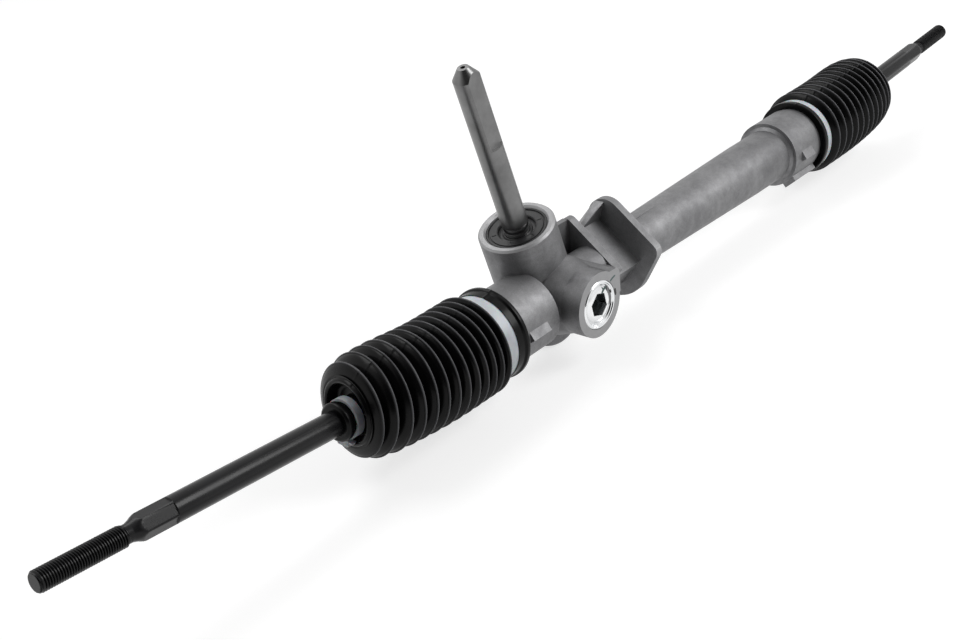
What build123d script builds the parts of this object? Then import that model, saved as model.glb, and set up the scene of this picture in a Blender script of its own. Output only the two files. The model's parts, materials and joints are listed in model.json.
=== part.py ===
from build123d import *

import os
from math import acos, atan, cos, pi, radians, sin, sqrt, tan

os.makedirs("parts", exist_ok=True)

# Manual rack and pinion steering gear.  Millimetres.
# The rack slides along X and the origin is on its axis, in the middle of the clamp saddle.
# +X runs to the far, plain end of the housing, -Y is the support yoke's side, +Z is up.

# ---------------------------------------------------------------- rack and pinion mesh
module = 2.0                 # normal module
pinion_teeth = 7
pressure_deg = 20.0
profile_shift = 0.5          # in modules
pinion_addendum = 0.8        # in modules, before the shift
pinion_dedendum = 1.25       # in modules, before the shift
rack_addendum = 0.9          # in modules
rack_dedendum = 1.1          # in modules
backlash = 0.10
pinion_lean_deg = 16.6       # the input shaft leans towards -X by this much
pinion_x = -54.0             # where the pinion axis passes behind the rack
pinion_y = 14.0
rack_travel = 70.0           # each way from the middle
rack_r = 12.0
rack_tooth_margin = 8.0      # toothed length past the travel, each side
rack_end_bore_r = 6.05
rack_end_bore_depth = 16.0
rack_end_chamfer = 1.0

# ---------------------------------------------------------------- fits
running_gap = 0.05           # radial, between pieces that turn or slide
seat_gap = 0.03              # radial, between pieces that are pressed or screwed together
soft_gap = 0.3               # between rubber or plastic and the moving pieces beside it
stop_gap = 0.5               # the rack stops this far before its ball housing seats

# ---------------------------------------------------------------- housing, along the rack
rack_bore_r = 13.0
core_r = 16.2                # round the rack between the collar and the saddle
neck_r = 25.0                # near end, round the ball housing
neck_end_x = -134.0
neck_relief_x = -113.0       # the machined boot seat ends here
neck_face_x = -81.0          # where the neck steps down to the drive collar
neck_bore_r = 20.6
neck_bore_floor_x = -88.0
neck_chamfer = 1.2
collar_r = 22.8              # between the neck and the yoke boss
collar_length = 10.0
tube_start_r = 16.9
tube_end_r = 19.9
tube_taper_end_x = 175.0
bell_face_x = 211.0
bell_r = 24.6
bell_end = 58.0              # the bell's end, bore floor and boot seat, from its face
bell_bore_floor = 6.0
bell_relief = 33.0
boot_seat_r = 24.0
lug_r = 28.0                 # cast foot under the bell, from near its face to the boot seat
lug_start = 3.0
lug_width = 11.0
lug_turn_deg = 50.7
shoulder_fillet = 2.0
pad_turn_deg = 55.0          # wedge-shaped datum pads, one on each end, that look up and forwards
pad_height = 22.2            # face above the rack axis
pad_top = -9.8               # the face's edges across the rack
pad_bottom = -17.4
near_pad_length = 17.0
near_pad_x = -101.5
far_pad_length = 13.5
far_pad_x = 226.5
tube_rib_width = 9.0         # flat-topped casting rib that the taper swallows
tube_rib_height = 17.3
tube_rib_turn_deg = 84.0
tube_rib_end_x = 150.0

# ---------------------------------------------------------------- housing, clamp saddle
saddle_turn_deg = 38.3       # the seat's face looks up and towards the yoke
saddle_half_gap = 9.2        # from the origin to each wall, along X
near_wall_thickness = 6.0
flange_thickness = 5.6
seat_height = 15.0           # seat face above the rack axis
seat_foot = -9.0             # the seat block's front and back reach down to here
seat_left = -17.4            # seat edges across the saddle, on the yoke's side and behind
seat_right = 21.8
near_wall_height = 16.6
near_wall_back = 35.4
near_wall_corner_r = 5.0
flange_top = 32.5
flange_left = -24.5
flange_right = 32.6
flange_front_corner_r = 6.5
flange_back_corner_r = 14.0
flange_round_r = 28.6        # the flange follows this radius under the tube
fin_root = 15.0              # across the saddle, at the rack's level
fin_edge = 26.5              # its top edge, where it meets the flange
fin_top = 27.2
fin_back = 32.0              # its back there
fin_back_top = 22.8
fin_near_edge = 22.0         # the same inside the near wall, just below the seat
fin_near_top = 14.4
fin_near_back = 24.4

# ---------------------------------------------------------------- housing, pinion tower
tower_r = 25.0
tower_mouth = 51.3           # along the pinion axis from the rack's plane
tower_foot = -3.0
tower_chamfer = 1.2
bearing_bore_r = 20.0
bearing_seat = 29.0
gear_cavity_r = 11.0
gear_cavity_foot = -19.0
lower_bush_bore_r = 9.0
lower_boss_r = 15.0
lower_boss_foot = -40.2
lower_boss_chamfer = 3.0
blind_floor = -37.0
web_front_y = 15.5           # web behind the pocket, from the tower to the near wall
web_back_y = 19.5
web_top_z = 32.6

# ---------------------------------------------------------------- housing, yoke boss
boss_r = 21.5
boss_face_y = -36.0
boss_root_r = 25.5           # the boss widens to this where it leaves the core
boss_root_y = -9.0
boss_root_end_y = -28.0
boss_cheek_x = 22.5          # the boss has a square cheek beside the saddle
boss_cheek_top = 17.5
boss_cheek_corner = 4.5
yoke_bore_r = 14.0
plug_bore_r = 16.0
plug_bore_depth = 12.5

# ---------------------------------------------------------------- yoke group
liner_thickness = 1.0
liner_half_angle_deg = 48.0
yoke_back_y = -23.2
yoke_front_y = -5.5
yoke_groove_y = -19.5
yoke_groove_width = 1.8
yoke_groove_depth = 1.44
ring_half_width = 0.86       # the rubber ring lies squeezed in its groove
ring_half_height = 0.68
yoke_pocket_r = 9.2
yoke_pocket_depth = 8.0
spring_wire = 2.0
spring_mean_r = 7.4
spring_turns = 2.6
plug_thickness = 12.0
plug_proud = 0.4
plug_dish_r = 12.6
plug_dish_depth = 1.4
plug_hex_flats = 14.0
plug_hex_depth = 8.0
plug_hex_turn_deg = 12.0
plug_chamfer = 0.8

# ---------------------------------------------------------------- pinion shaft
shaft_r = 8.5
shaft_tip = 169.3            # along the pinion axis from the rack's plane
tip_cone_length = 7.0
tip_r = 3.6
centre_hole_r = 1.5
centre_hole_depth = 4.0
flat_start = 113.5           # the locating flat runs from here to the tip
flat_depth = 2.6
flat_turn_deg = -86.0        # the flat looks to the front
seal_journal_r = 8.2
seal_journal_foot = 43.5
seal_journal_head = 54.5
collar_r = 10.0              # shoulder under the bearing
gear_foot = -16.5
gear_head = 17.5
lower_journal_r = 6.0
lower_journal_foot = -36.0

# ---------------------------------------------------------------- pinion bearings and seal
bearing_width = 12.0
bearing_outer_r = 20.0
inner_ring_r = 12.1
outer_ring_r = 16.5
ball_r = 3.37
bearing_balls = 8
groove_gap = 0.02
bush_length = 15.0
circlip_thickness = 1.5
circlip_groove_depth = 1.2
circlip_inner_r = 17.6
circlip_gap_deg = 40.0
seal_foot = 45.0
seal_head = 50.3
seal_groove_r = 13.6         # ring groove in the seal's face
seal_hub_r = 10.6
seal_dish = 1.2

# ---------------------------------------------------------------- rack end bush
rack_bush_length = 22.0
rack_bush_r = 15.4
rack_bush_lip_r = 16.6
rack_bush_lip = 2.0

# ---------------------------------------------------------------- inner ball joints
washer_r = 15.0
washer_thickness = 2.0
washer_hole_r = 7.05
ball_housing_r = 18.0
ball_housing_flat = 1.8      # depth of the spanner flats
ball_housing_flat_length = 10.0
ball_stud_r = 6.0
ball_stud_length = 13.0
ball_to_shoulder = 16.5      # ball centre to the housing's inner shoulder
ball_to_mouth = 7.4
rod_ball_r = 10.0
seat_wall = 2.2
seat_mouth_deg = 72.0        # half angle of the liner's opening, from the rod's side
housing_mouth_deg = 58.6
housing_mouth_flare = 2.6

# ---------------------------------------------------------------- tie rods
rod_r = 7.5
rod_neck_r = 5.5
rod_neck_length = 13.0       # from the ball's centre to where the rod is full size
rod_taper_length = 8.0
thread_r = 6.0
hex_flats = 13.8
hex_corner_r = 7.8
hex_length = 19.0
hex_cone_length = 7.0
tip_chamfer = 1.2
near_rod_length = 271.5
near_thread_length = 54.5
near_rise_deg = 4.6          # the rods rise from the rack by this much at rest
far_rod_length = 199.0
far_thread_length = 46.0
far_rise_deg = 3.45

# ---------------------------------------------------------------- boots and clips
boot_wall = 1.3
boot_lip_r = 30.0
boot_lip_length = 3.0
band_seat_r = 26.6
band_seat_length = 10.5
boot_crest_r = 32.5
boot_root_r = 26.2
boot_convolutions = 12
boot_end_crest_r = 28.2
boot_taper = 8               # the crests keep their size, then fall off by this power of the length
boot_mouth_r = 16.0
near_boot_grip = 18.0        # how far each boot reaches over the housing
far_boot_grip = 19.0
near_boot_end_x = -240.0
far_boot_end_x = 373.0
boot_neck_r = 10.2
boot_neck_length = 17.0
boot_neck_inset = 9.0        # the neck starts this far inside the last convolution
clip_width = 5.0
clip_thickness = 1.6
band_width = 8.6
band_thickness = 1.5

# ---------------------------------------------------------------- values worked out from these
lean = radians(pinion_lean_deg)
pinion_dir = Vector(-sin(lean), 0, cos(lean))
pinion_side = Vector(cos(lean), 0, sin(lean))
pinion_origin = Vector(pinion_x, pinion_y, 0)
pinion_axis = Axis(pinion_origin, pinion_dir)
pinion_plane = Plane(origin=pinion_origin, x_dir=pinion_side, z_dir=pinion_dir)
pinion_section = Plane(origin=pinion_origin, x_dir=pinion_side, z_dir=(0, -1, 0))
pitch_r = pinion_teeth * module / (2 * cos(lean))
transverse_angle = atan(tan(radians(pressure_deg)) / cos(lean))
base_r = pitch_r * cos(transverse_angle)
pinion_tip_r = pitch_r + module * (pinion_addendum + profile_shift)
pinion_root_r = pitch_r - module * (pinion_dedendum - profile_shift)
rack_line_y = pinion_y - pitch_r - profile_shift * module
rack_tip_y = rack_line_y + rack_addendum * module
rack_root_y = rack_line_y - rack_dedendum * module
tooth_pitch = pi * module
yoke_axis = Axis((pinion_x, 0, 0), (0, 1, 0))
saddle_turn = radians(saddle_turn_deg)
seat_up = Vector(0, -sin(saddle_turn), cos(saddle_turn))
seat_across = Vector(0, cos(saddle_turn), sin(saddle_turn))
bell_end_x = bell_face_x + bell_end
near_lip_x = neck_end_x + near_boot_grip
far_lip_x = bell_end_x - far_boot_grip
bell_bore_floor_x = bell_face_x + bell_bore_floor
bell_relief_x = bell_face_x + bell_relief
ball_housing_flat_r = ball_housing_r - ball_housing_flat
near_rack_end_x = neck_bore_floor_x - rack_travel - stop_gap
far_rack_end_x = bell_bore_floor_x + rack_travel + stop_gap
near_ball_x = near_rack_end_x - washer_thickness - ball_to_shoulder
far_ball_x = far_rack_end_x + washer_thickness + ball_to_shoulder
cavity_r = rod_ball_r + seat_wall + 3 * running_gap
near_wall_x = -saddle_half_gap
flange_x = saddle_half_gap


def saddle_plane(x):
    """Plane across the rack at x, with its own x across the seat and its y away from the rack."""
    return Plane(origin=(x, 0, 0), x_dir=seat_across, z_dir=seat_across.cross(seat_up))


def rise_dir(side, rise_deg):
    """Direction of a tie rod: side is -1 for the near one and 1 for the far one."""
    return Vector(side * cos(radians(rise_deg)), 0, sin(radians(rise_deg)))


# ================================================================ housing
with BuildPart() as housing:
    # bored neck, core, tapered tube and bell, all round the rack
    with BuildSketch(Plane.XY):
        with BuildLine():
            Polyline(
                (neck_end_x, 0),
                (neck_end_x, boot_seat_r - neck_chamfer),
                (neck_end_x + neck_chamfer, boot_seat_r),
                (neck_relief_x, boot_seat_r),
                (neck_relief_x, neck_r),
                (neck_face_x, neck_r),
                (neck_face_x, collar_r),
                (neck_face_x + collar_length, collar_r),
                (neck_face_x + collar_length, core_r),
                (flange_x, core_r),
                (flange_x, tube_start_r),
                (flange_x + flange_thickness, tube_start_r),
                (tube_taper_end_x, tube_end_r),
                (bell_face_x - shoulder_fillet, tube_end_r),
                (bell_face_x, tube_end_r + shoulder_fillet),
                (bell_face_x, bell_r),
                (bell_relief_x, bell_r),
                (bell_relief_x, boot_seat_r),
                (bell_end_x - neck_chamfer, boot_seat_r),
                (bell_end_x, boot_seat_r - neck_chamfer),
                (bell_end_x, 0),
                close=True,
            )
        make_face()
    revolve(axis=Axis.X)

    # cast foot under the bell
    with BuildSketch(Plane.YZ.offset(bell_face_x + lug_start)):
        with Locations(Rotation(0, 0, lug_turn_deg + 180)):
            with Locations((lug_r / 2, 0)):
                Rectangle(lug_r, lug_width)
    extrude(amount=bell_relief - lug_start)

    # flat-topped rib on the tube
    with BuildSketch(Plane.YZ.offset(flange_x)):
        with Locations(Rotation(0, 0, tube_rib_turn_deg)):
            with Locations((tube_rib_height / 2, 0)):
                Rectangle(tube_rib_height, tube_rib_width)
    extrude(amount=tube_rib_end_x - flange_x)

    # datum pads
    pad_up = Vector(0, -sin(radians(pad_turn_deg)), cos(radians(pad_turn_deg)))
    for pad_x, pad_length in ((near_pad_x, near_pad_length), (far_pad_x, far_pad_length)):
        with BuildSketch(Plane(origin=pad_up * pad_height, x_dir=(1, 0, 0), z_dir=pad_up)):
            with Locations((pad_x, (pad_top + pad_bottom) / 2)):
                Rectangle(pad_length, pad_top - pad_bottom)
        extrude(amount=-pad_height)

    # pinion tower and the blind boss of the lower bush
    with BuildSketch(pinion_plane.offset(tower_foot)):
        Circle(tower_r)
    extrude(amount=tower_mouth - tower_foot)
    with BuildSketch(pinion_plane.offset(lower_boss_foot)):
        Circle(lower_boss_r)
    extrude(amount=-lower_boss_foot)

    # yoke boss with its square cheek beside the saddle
    with BuildSketch(Plane.XZ):
        with Locations((pinion_x, 0)):
            Circle(boss_r)
        with Locations((pinion_x + boss_cheek_x / 2, boss_cheek_top / 2)):
            Rectangle(boss_cheek_x, boss_cheek_top)
        corner = vertices().sort_by_distance((pinion_x + boss_cheek_x, boss_cheek_top, 0))[0]
        fillet(corner, radius=boss_cheek_corner)
    extrude(amount=-boss_face_y)

    with BuildSketch(Plane.XY):
        with BuildLine():
            Polyline(
                (pinion_x, 0),
                (pinion_x + boss_root_r, 0),
                (pinion_x + boss_root_r, boss_root_y),
                (pinion_x + boss_r - shoulder_fillet, boss_root_end_y),
                (pinion_x, boss_root_end_y),
                close=True,
            )
        make_face()
    revolve(axis=yoke_axis)

    # saddle: flat seat, near wall, outer flange and the fin behind the seat
    with BuildSketch(saddle_plane(near_wall_x - near_wall_thickness)):
        with Locations(((seat_left + seat_right) / 2, (seat_height + seat_foot) / 2)):
            Rectangle(seat_right - seat_left, seat_height - seat_foot)
    extrude(amount=2 * saddle_half_gap + near_wall_thickness)
    with BuildSketch(saddle_plane(near_wall_x)):
        with Locations((0, seat_height + core_r / 2)):
            Rectangle(2 * core_r, core_r)
    extrude(amount=2 * saddle_half_gap, mode=Mode.SUBTRACT)
    with BuildSketch(saddle_plane(near_wall_x)):
        with BuildLine():
            CenterArc((0, 0), near_wall_height, 0, 360)
            CenterArc(
                (near_wall_back - near_wall_corner_r, near_wall_height - near_wall_corner_r),
                near_wall_corner_r,
                0,
                360,
            )
            CenterArc(
                (seat_left + near_wall_corner_r, near_wall_height - near_wall_corner_r),
                near_wall_corner_r,
                0,
                360,
            )
        make_hull()
    extrude(amount=-near_wall_thickness)
    with BuildSketch(saddle_plane(flange_x)):
        with BuildLine():
            CenterArc((0, 0), flange_round_r, 0, 360)
            CenterArc(
                (flange_left + flange_front_corner_r, flange_top - flange_front_corner_r),
                flange_front_corner_r,
                0,
                360,
            )
            CenterArc(
                (flange_right - flange_back_corner_r, flange_top - flange_back_corner_r),
                flange_back_corner_r,
                0,
                360,
            )
        make_hull()
    extrude(amount=flange_thickness)
    fin_sections = (
        (near_wall_x - near_wall_thickness / 2, fin_near_edge, fin_near_top, fin_near_back, fin_near_top),
        (flange_x, fin_edge, fin_top, fin_back, fin_back_top),
    )
    for section_x, edge, edge_top, back, back_top in fin_sections:
        with BuildSketch(saddle_plane(section_x)):
            with BuildLine():
                Polyline(
                    (fin_root, 0), (seat_right, fin_near_top), (edge, edge_top), (back, back_top),
                    (back, 0), close=True,
                )
            make_face()
    loft()

    # web behind the pocket
    with BuildSketch(Plane.XZ.offset(-web_front_y)):
        with Locations((pinion_x, 0)):
            Rectangle(
                near_wall_x - near_wall_thickness - pinion_x, web_top_z, align=(Align.MIN, Align.MIN)
            )
    extrude(amount=-(web_back_y - web_front_y))

    # rack bore with the counterbores that take the ball housings and the rack bush
    with BuildSketch(Plane.XY):
        with BuildLine():
            Polyline(
                (neck_end_x, 0),
                (neck_end_x, neck_bore_r),
                (neck_bore_floor_x, neck_bore_r),
                (neck_bore_floor_x, rack_bore_r),
                (bell_bore_floor_x - rack_bush_length, rack_bore_r),
                (bell_bore_floor_x - rack_bush_length, rack_bush_r),
                (bell_bore_floor_x - rack_bush_lip, rack_bush_r),
                (bell_bore_floor_x - rack_bush_lip, rack_bush_lip_r),
                (bell_bore_floor_x, rack_bush_lip_r),
                (bell_bore_floor_x, neck_bore_r),
                (bell_end_x, neck_bore_r),
                (bell_end_x, 0),
                close=True,
            )
        make_face()
    revolve(axis=Axis.X, mode=Mode.SUBTRACT)

    # stepped bore for the pinion, its bearing, circlip and seal
    clip_foot = bearing_seat + bearing_width
    with BuildSketch(pinion_section):
        with BuildLine():
            Polyline(
                (0, blind_floor),
                (lower_bush_bore_r, blind_floor),
                (lower_bush_bore_r, gear_cavity_foot),
                (gear_cavity_r, gear_cavity_foot),
                (gear_cavity_r, bearing_seat),
                (bearing_bore_r, bearing_seat),
                (bearing_bore_r, clip_foot),
                (bearing_bore_r + circlip_groove_depth, clip_foot),
                (bearing_bore_r + circlip_groove_depth, clip_foot + circlip_thickness + running_gap),
                (bearing_bore_r, clip_foot + circlip_thickness + running_gap),
                (bearing_bore_r, tower_mouth - tower_chamfer),
                (bearing_bore_r + tower_chamfer, tower_mouth),
                (0, tower_mouth),
                close=True,
            )
        make_face()
    revolve(axis=pinion_axis, mode=Mode.SUBTRACT)

    # yoke bore and the threaded seat of its plug
    with BuildSketch(Plane.XZ):
        with Locations((pinion_x, 0)):
            Circle(yoke_bore_r + running_gap)
    extrude(amount=-boss_face_y, mode=Mode.SUBTRACT)
    with BuildSketch(Plane.XZ.offset(-boss_face_y)):
        with Locations((pinion_x, 0)):
            Circle(plug_bore_r + seat_gap)
    extrude(amount=-plug_bore_depth, mode=Mode.SUBTRACT)

    # outer edges
    tower_rim = edges().filter_by(GeomType.CIRCLE).filter_by(
        lambda e: abs(e.radius - tower_r) < seat_gap
        and abs((e.arc_center - pinion_origin).dot(pinion_dir) - tower_mouth) < seat_gap
    )
    chamfer(tower_rim, length=tower_chamfer)
    boss_foot = edges().filter_by(GeomType.CIRCLE).filter_by(
        lambda e: abs(e.radius - lower_boss_r) < seat_gap
        and abs((e.arc_center - pinion_origin).dot(pinion_dir) - lower_boss_foot) < seat_gap
    )
    chamfer(boss_foot, length=lower_boss_chamfer)

housing.part.label = "housing"
export_step(housing.part, "parts/housing.step")


# ================================================================ rack
with BuildPart() as rack:
    with BuildSketch(Plane.XY):
        with BuildLine():
            Polyline(
                (near_rack_end_x, 0),
                (near_rack_end_x, rack_r - rack_end_chamfer),
                (near_rack_end_x + rack_end_chamfer, rack_r),
                (far_rack_end_x - rack_end_chamfer, rack_r),
                (far_rack_end_x, rack_r - rack_end_chamfer),
                (far_rack_end_x, 0),
                close=True,
            )
        make_face()
    revolve(axis=Axis.X)

    # flat that the teeth are cut in
    toothed_half = rack_travel + rack_tooth_margin
    with BuildSketch(Plane.XY.offset(-rack_r)):
        with Locations((pinion_x, (rack_tip_y + rack_r) / 2)):
            Rectangle(2 * toothed_half + tooth_pitch, rack_r - rack_tip_y)
    extrude(amount=2 * rack_r, mode=Mode.SUBTRACT)

    # tooth spaces, straight across the bar; one is centred on the pinion
    flank_tan = tan(radians(pressure_deg))
    space_half = tooth_pitch / 4 + backlash / 2
    spaces_each_side = int(toothed_half // tooth_pitch)
    for k in range(-spaces_each_side, spaces_each_side + 1):
        space_x = pinion_x + k * tooth_pitch
        with BuildSketch(Plane.XY.offset(-rack_r)):
            with BuildLine():
                Polyline(
                    (space_x - space_half - (rack_tip_y - rack_line_y) * flank_tan, rack_tip_y),
                    (space_x - space_half + (rack_line_y - rack_root_y) * flank_tan, rack_root_y),
                    (space_x + space_half - (rack_line_y - rack_root_y) * flank_tan, rack_root_y),
                    (space_x + space_half + (rack_tip_y - rack_line_y) * flank_tan, rack_tip_y),
                    close=True,
                )
            make_face()
        extrude(amount=2 * rack_r, mode=Mode.SUBTRACT)

    # threaded ends for the ball housings
    for end_x, outward in ((near_rack_end_x, -1), (far_rack_end_x, 1)):
        with BuildSketch(Plane.YZ.offset(end_x)):
            Circle(rack_end_bore_r)
        extrude(amount=-outward * rack_end_bore_depth, mode=Mode.SUBTRACT)

rack.part.label = "rack"
export_step(rack.part, "parts/rack.step")


# ================================================================ rack bush
with BuildPart() as rack_bush:
    with BuildSketch(Plane.XY):
        with BuildLine():
            Polyline(
                (bell_bore_floor_x - rack_bush_length, rack_r + running_gap),
                (bell_bore_floor_x - rack_bush_length, rack_bush_r - seat_gap),
                (bell_bore_floor_x - rack_bush_lip, rack_bush_r - seat_gap),
                (bell_bore_floor_x - rack_bush_lip, rack_bush_lip_r - seat_gap),
                (bell_bore_floor_x, rack_bush_lip_r - seat_gap),
                (bell_bore_floor_x, rack_r + running_gap),
                close=True,
            )
        make_face()
    revolve(axis=Axis.X)

rack_bush.part.label = "rack_bush"
export_step(rack_bush.part, "parts/rack_bush.step")


# ================================================================ pinion shaft
def involute(angle):
    return tan(angle) - angle


pinion_tooth_arc = (pi * module / 2 + 2 * profile_shift * module * tan(radians(pressure_deg))) / cos(lean)
tooth_half_at_base = (pinion_tooth_arc - backlash / 2) / (2 * pitch_r) + involute(transverse_angle)
helix_turn = tan(lean) / pitch_r     # radians per millimetre along the pinion axis
flank_points = 6


def tooth_half_angle(r):
    """Half the angle that a tooth takes at radius r, from the involute of the base circle."""
    if r <= base_r:
        return tooth_half_at_base
    return tooth_half_at_base - involute(acos(base_r / r))


def on_gear(r, angle):
    return (r * cos(angle), r * sin(angle))


def gear_outline(start_turn):
    """Transverse outline of the pinion, with its first tooth turned from -Y by start_turn."""
    flank_radii = [base_r + (pinion_tip_r - base_r) * k / (flank_points - 1) for k in range(flank_points)]
    tooth_angle = 2 * pi / pinion_teeth
    for k in range(pinion_teeth):
        middle = -pi / 2 + start_turn + k * tooth_angle
        rising = [on_gear(r, middle - tooth_half_angle(r)) for r in flank_radii]
        falling = [on_gear(r, middle + tooth_half_angle(r)) for r in reversed(flank_radii)]
        foot_in = on_gear(pinion_root_r, middle - tooth_half_at_base)
        foot_out = on_gear(pinion_root_r, middle + tooth_half_at_base)
        next_foot = on_gear(pinion_root_r, middle + tooth_angle - tooth_half_at_base)
        Line(foot_in, rising[0])
        Spline(*rising)
        ThreePointArc(rising[-1], on_gear(pinion_tip_r, middle), falling[0])
        Spline(*falling)
        Line(falling[-1], foot_out)
        ThreePointArc(foot_out, on_gear(pinion_root_r, middle + tooth_angle / 2), next_foot)


with BuildSketch(pinion_plane.offset(gear_foot)) as gear_sketch:
    with BuildLine():
        gear_outline(helix_turn * gear_foot)
    make_face()

gear_length = gear_head - gear_foot
gear_blank = Solid.extrude_linear_with_rotation(
    gear_sketch.sketch.faces()[0],
    pinion_origin + pinion_dir * gear_foot,
    pinion_dir * gear_length,
    helix_turn * gear_length * 180 / pi,
)

with BuildPart() as pinion:
    with BuildSketch(pinion_section):
        with BuildLine():
            Polyline(
                (0, lower_journal_foot),
                (lower_journal_r - tip_chamfer / 2, lower_journal_foot),
                (lower_journal_r, lower_journal_foot + tip_chamfer / 2),
                (lower_journal_r, gear_foot),
                (pinion_root_r - running_gap, gear_foot),
                (pinion_root_r - running_gap, gear_head),
                (collar_r, gear_head),
                (collar_r, bearing_seat),
                (shaft_r, bearing_seat),
                (shaft_r, seal_journal_foot),
                (seal_journal_r, seal_journal_foot),
                (seal_journal_r, seal_journal_head),
                (shaft_r, seal_journal_head + shaft_r - seal_journal_r),
                (shaft_r, shaft_tip - tip_cone_length),
                (tip_r, shaft_tip),
                (0, shaft_tip),
                close=True,
            )
        make_face()
    revolve(axis=pinion_axis)
    add(gear_blank)
    # locating flat at the tip
    flat_turn = radians(flat_turn_deg)
    flat_out = pinion_side * cos(flat_turn) + Vector(0, 1, 0) * sin(flat_turn)
    flat_plane = Plane(
        origin=pinion_origin + pinion_dir * flat_start + flat_out * (shaft_r - flat_depth),
        x_dir=pinion_dir,
        z_dir=flat_out,
    )
    with BuildSketch(flat_plane):
        with Locations(((shaft_tip - flat_start) / 2, 0)):
            Rectangle(shaft_tip - flat_start, 2 * shaft_r)
    extrude(amount=shaft_r, mode=Mode.SUBTRACT)
    # centre hole
    with BuildSketch(pinion_plane.offset(shaft_tip)):
        Circle(centre_hole_r)
    extrude(amount=-centre_hole_depth, mode=Mode.SUBTRACT)

pinion.part.label = "pinion"
export_step(pinion.part, "parts/pinion.step")


# ================================================================ pinion bearing
ball_pitch_r = (shaft_r + bearing_outer_r) / 2
groove_r = ball_r + groove_gap
bearing_middle = bearing_seat + bearing_width / 2


def build_bearing_ring(name, inner_r, outer_r):
    """Bearing ring with its share of the ball groove."""
    with BuildPart() as ring:
        with BuildSketch(pinion_section):
            with Locations(((inner_r + outer_r) / 2, bearing_middle)):
                Rectangle(outer_r - inner_r, bearing_width)
            with Locations((ball_pitch_r, bearing_middle)):
                Circle(groove_r, mode=Mode.SUBTRACT)
        revolve(axis=pinion_axis)
    ring.part.label = name
    export_step(ring.part, f"parts/{name}.step")


build_bearing_ring("bearing_inner_ring", shaft_r + seat_gap, inner_ring_r)
build_bearing_ring("bearing_outer_ring", outer_ring_r, bearing_outer_r - seat_gap)

with BuildPart() as bearing_ball_set:
    with Locations(pinion_plane.offset(bearing_middle)):
        with PolarLocations(ball_pitch_r, bearing_balls):
            Sphere(ball_r)

bearing_ball_set.part.label = "bearing_balls"
export_step(bearing_ball_set.part, "parts/bearing_balls.step")


# ================================================================ lower bush, circlip and seal
with BuildPart() as pinion_bush:
    with BuildSketch(pinion_plane.offset(gear_cavity_foot - bush_length)):
        Circle(lower_bush_bore_r - seat_gap)
        Circle(lower_journal_r + running_gap, mode=Mode.SUBTRACT)
    extrude(amount=bush_length)

pinion_bush.part.label = "pinion_bush"
export_step(pinion_bush.part, "parts/pinion_bush.step")

with BuildPart() as pinion_circlip:
    with BuildSketch(pinion_plane.offset(bearing_seat + bearing_width)):
        Circle(bearing_bore_r + circlip_groove_depth - seat_gap)
        Circle(circlip_inner_r, mode=Mode.SUBTRACT)
        with BuildLine():
            mouth_out = 2 * bearing_bore_r
            mouth_half = radians(circlip_gap_deg) / 2
            Polyline(
                (0, 0),
                (mouth_out * cos(mouth_half), -mouth_out * sin(mouth_half)),
                (mouth_out * cos(mouth_half), mouth_out * sin(mouth_half)),
                close=True,
            )
        make_face(mode=Mode.SUBTRACT)
    extrude(amount=circlip_thickness)

pinion_circlip.part.label = "pinion_circlip"
export_step(pinion_circlip.part, "parts/pinion_circlip.step")

with BuildPart() as pinion_seal:
    with BuildSketch(pinion_section):
        with BuildLine():
            Polyline(
                (seal_journal_r + running_gap, seal_foot),
                (bearing_bore_r - seat_gap, seal_foot),
                (bearing_bore_r - seat_gap, seal_head),
                (bearing_bore_r - seal_dish, seal_head),
                (bearing_bore_r - 2 * seal_dish, seal_head - seal_dish / 2),
                (seal_groove_r, seal_head - seal_dish / 2),
                (seal_hub_r, seal_head - seal_dish),
                (seal_journal_r + running_gap, seal_head - 2 * seal_dish),
                close=True,
            )
        make_face()
    revolve(axis=pinion_axis)

pinion_seal.part.label = "pinion_seal"
export_step(pinion_seal.part, "parts/pinion_seal.step")


# ================================================================ support yoke group
ring_groove_r = yoke_bore_r - yoke_groove_depth
liner_r = rack_r + running_gap
with BuildPart() as yoke_liner:
    liner_half = radians(liner_half_angle_deg)
    liner_width = 2 * ring_groove_r * sin(liner_half)
    with BuildSketch(Plane.YZ.offset(pinion_x - liner_width / 2)):
        with BuildLine():
            outer_liner_r = liner_r + liner_thickness
            low_in = (-liner_r * cos(liner_half), -liner_r * sin(liner_half))
            high_in = (-liner_r * cos(liner_half), liner_r * sin(liner_half))
            low_out = (-outer_liner_r * cos(liner_half), -outer_liner_r * sin(liner_half))
            high_out = (-outer_liner_r * cos(liner_half), outer_liner_r * sin(liner_half))
            ThreePointArc(low_in, (-liner_r, 0), high_in)
            Line(high_in, high_out)
            ThreePointArc(high_out, (-outer_liner_r, 0), low_out)
            Line(low_out, low_in)
        make_face()
    extrude(amount=liner_width)

yoke_liner.part.label = "yoke_liner"
export_step(yoke_liner.part, "parts/yoke_liner.step")

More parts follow.
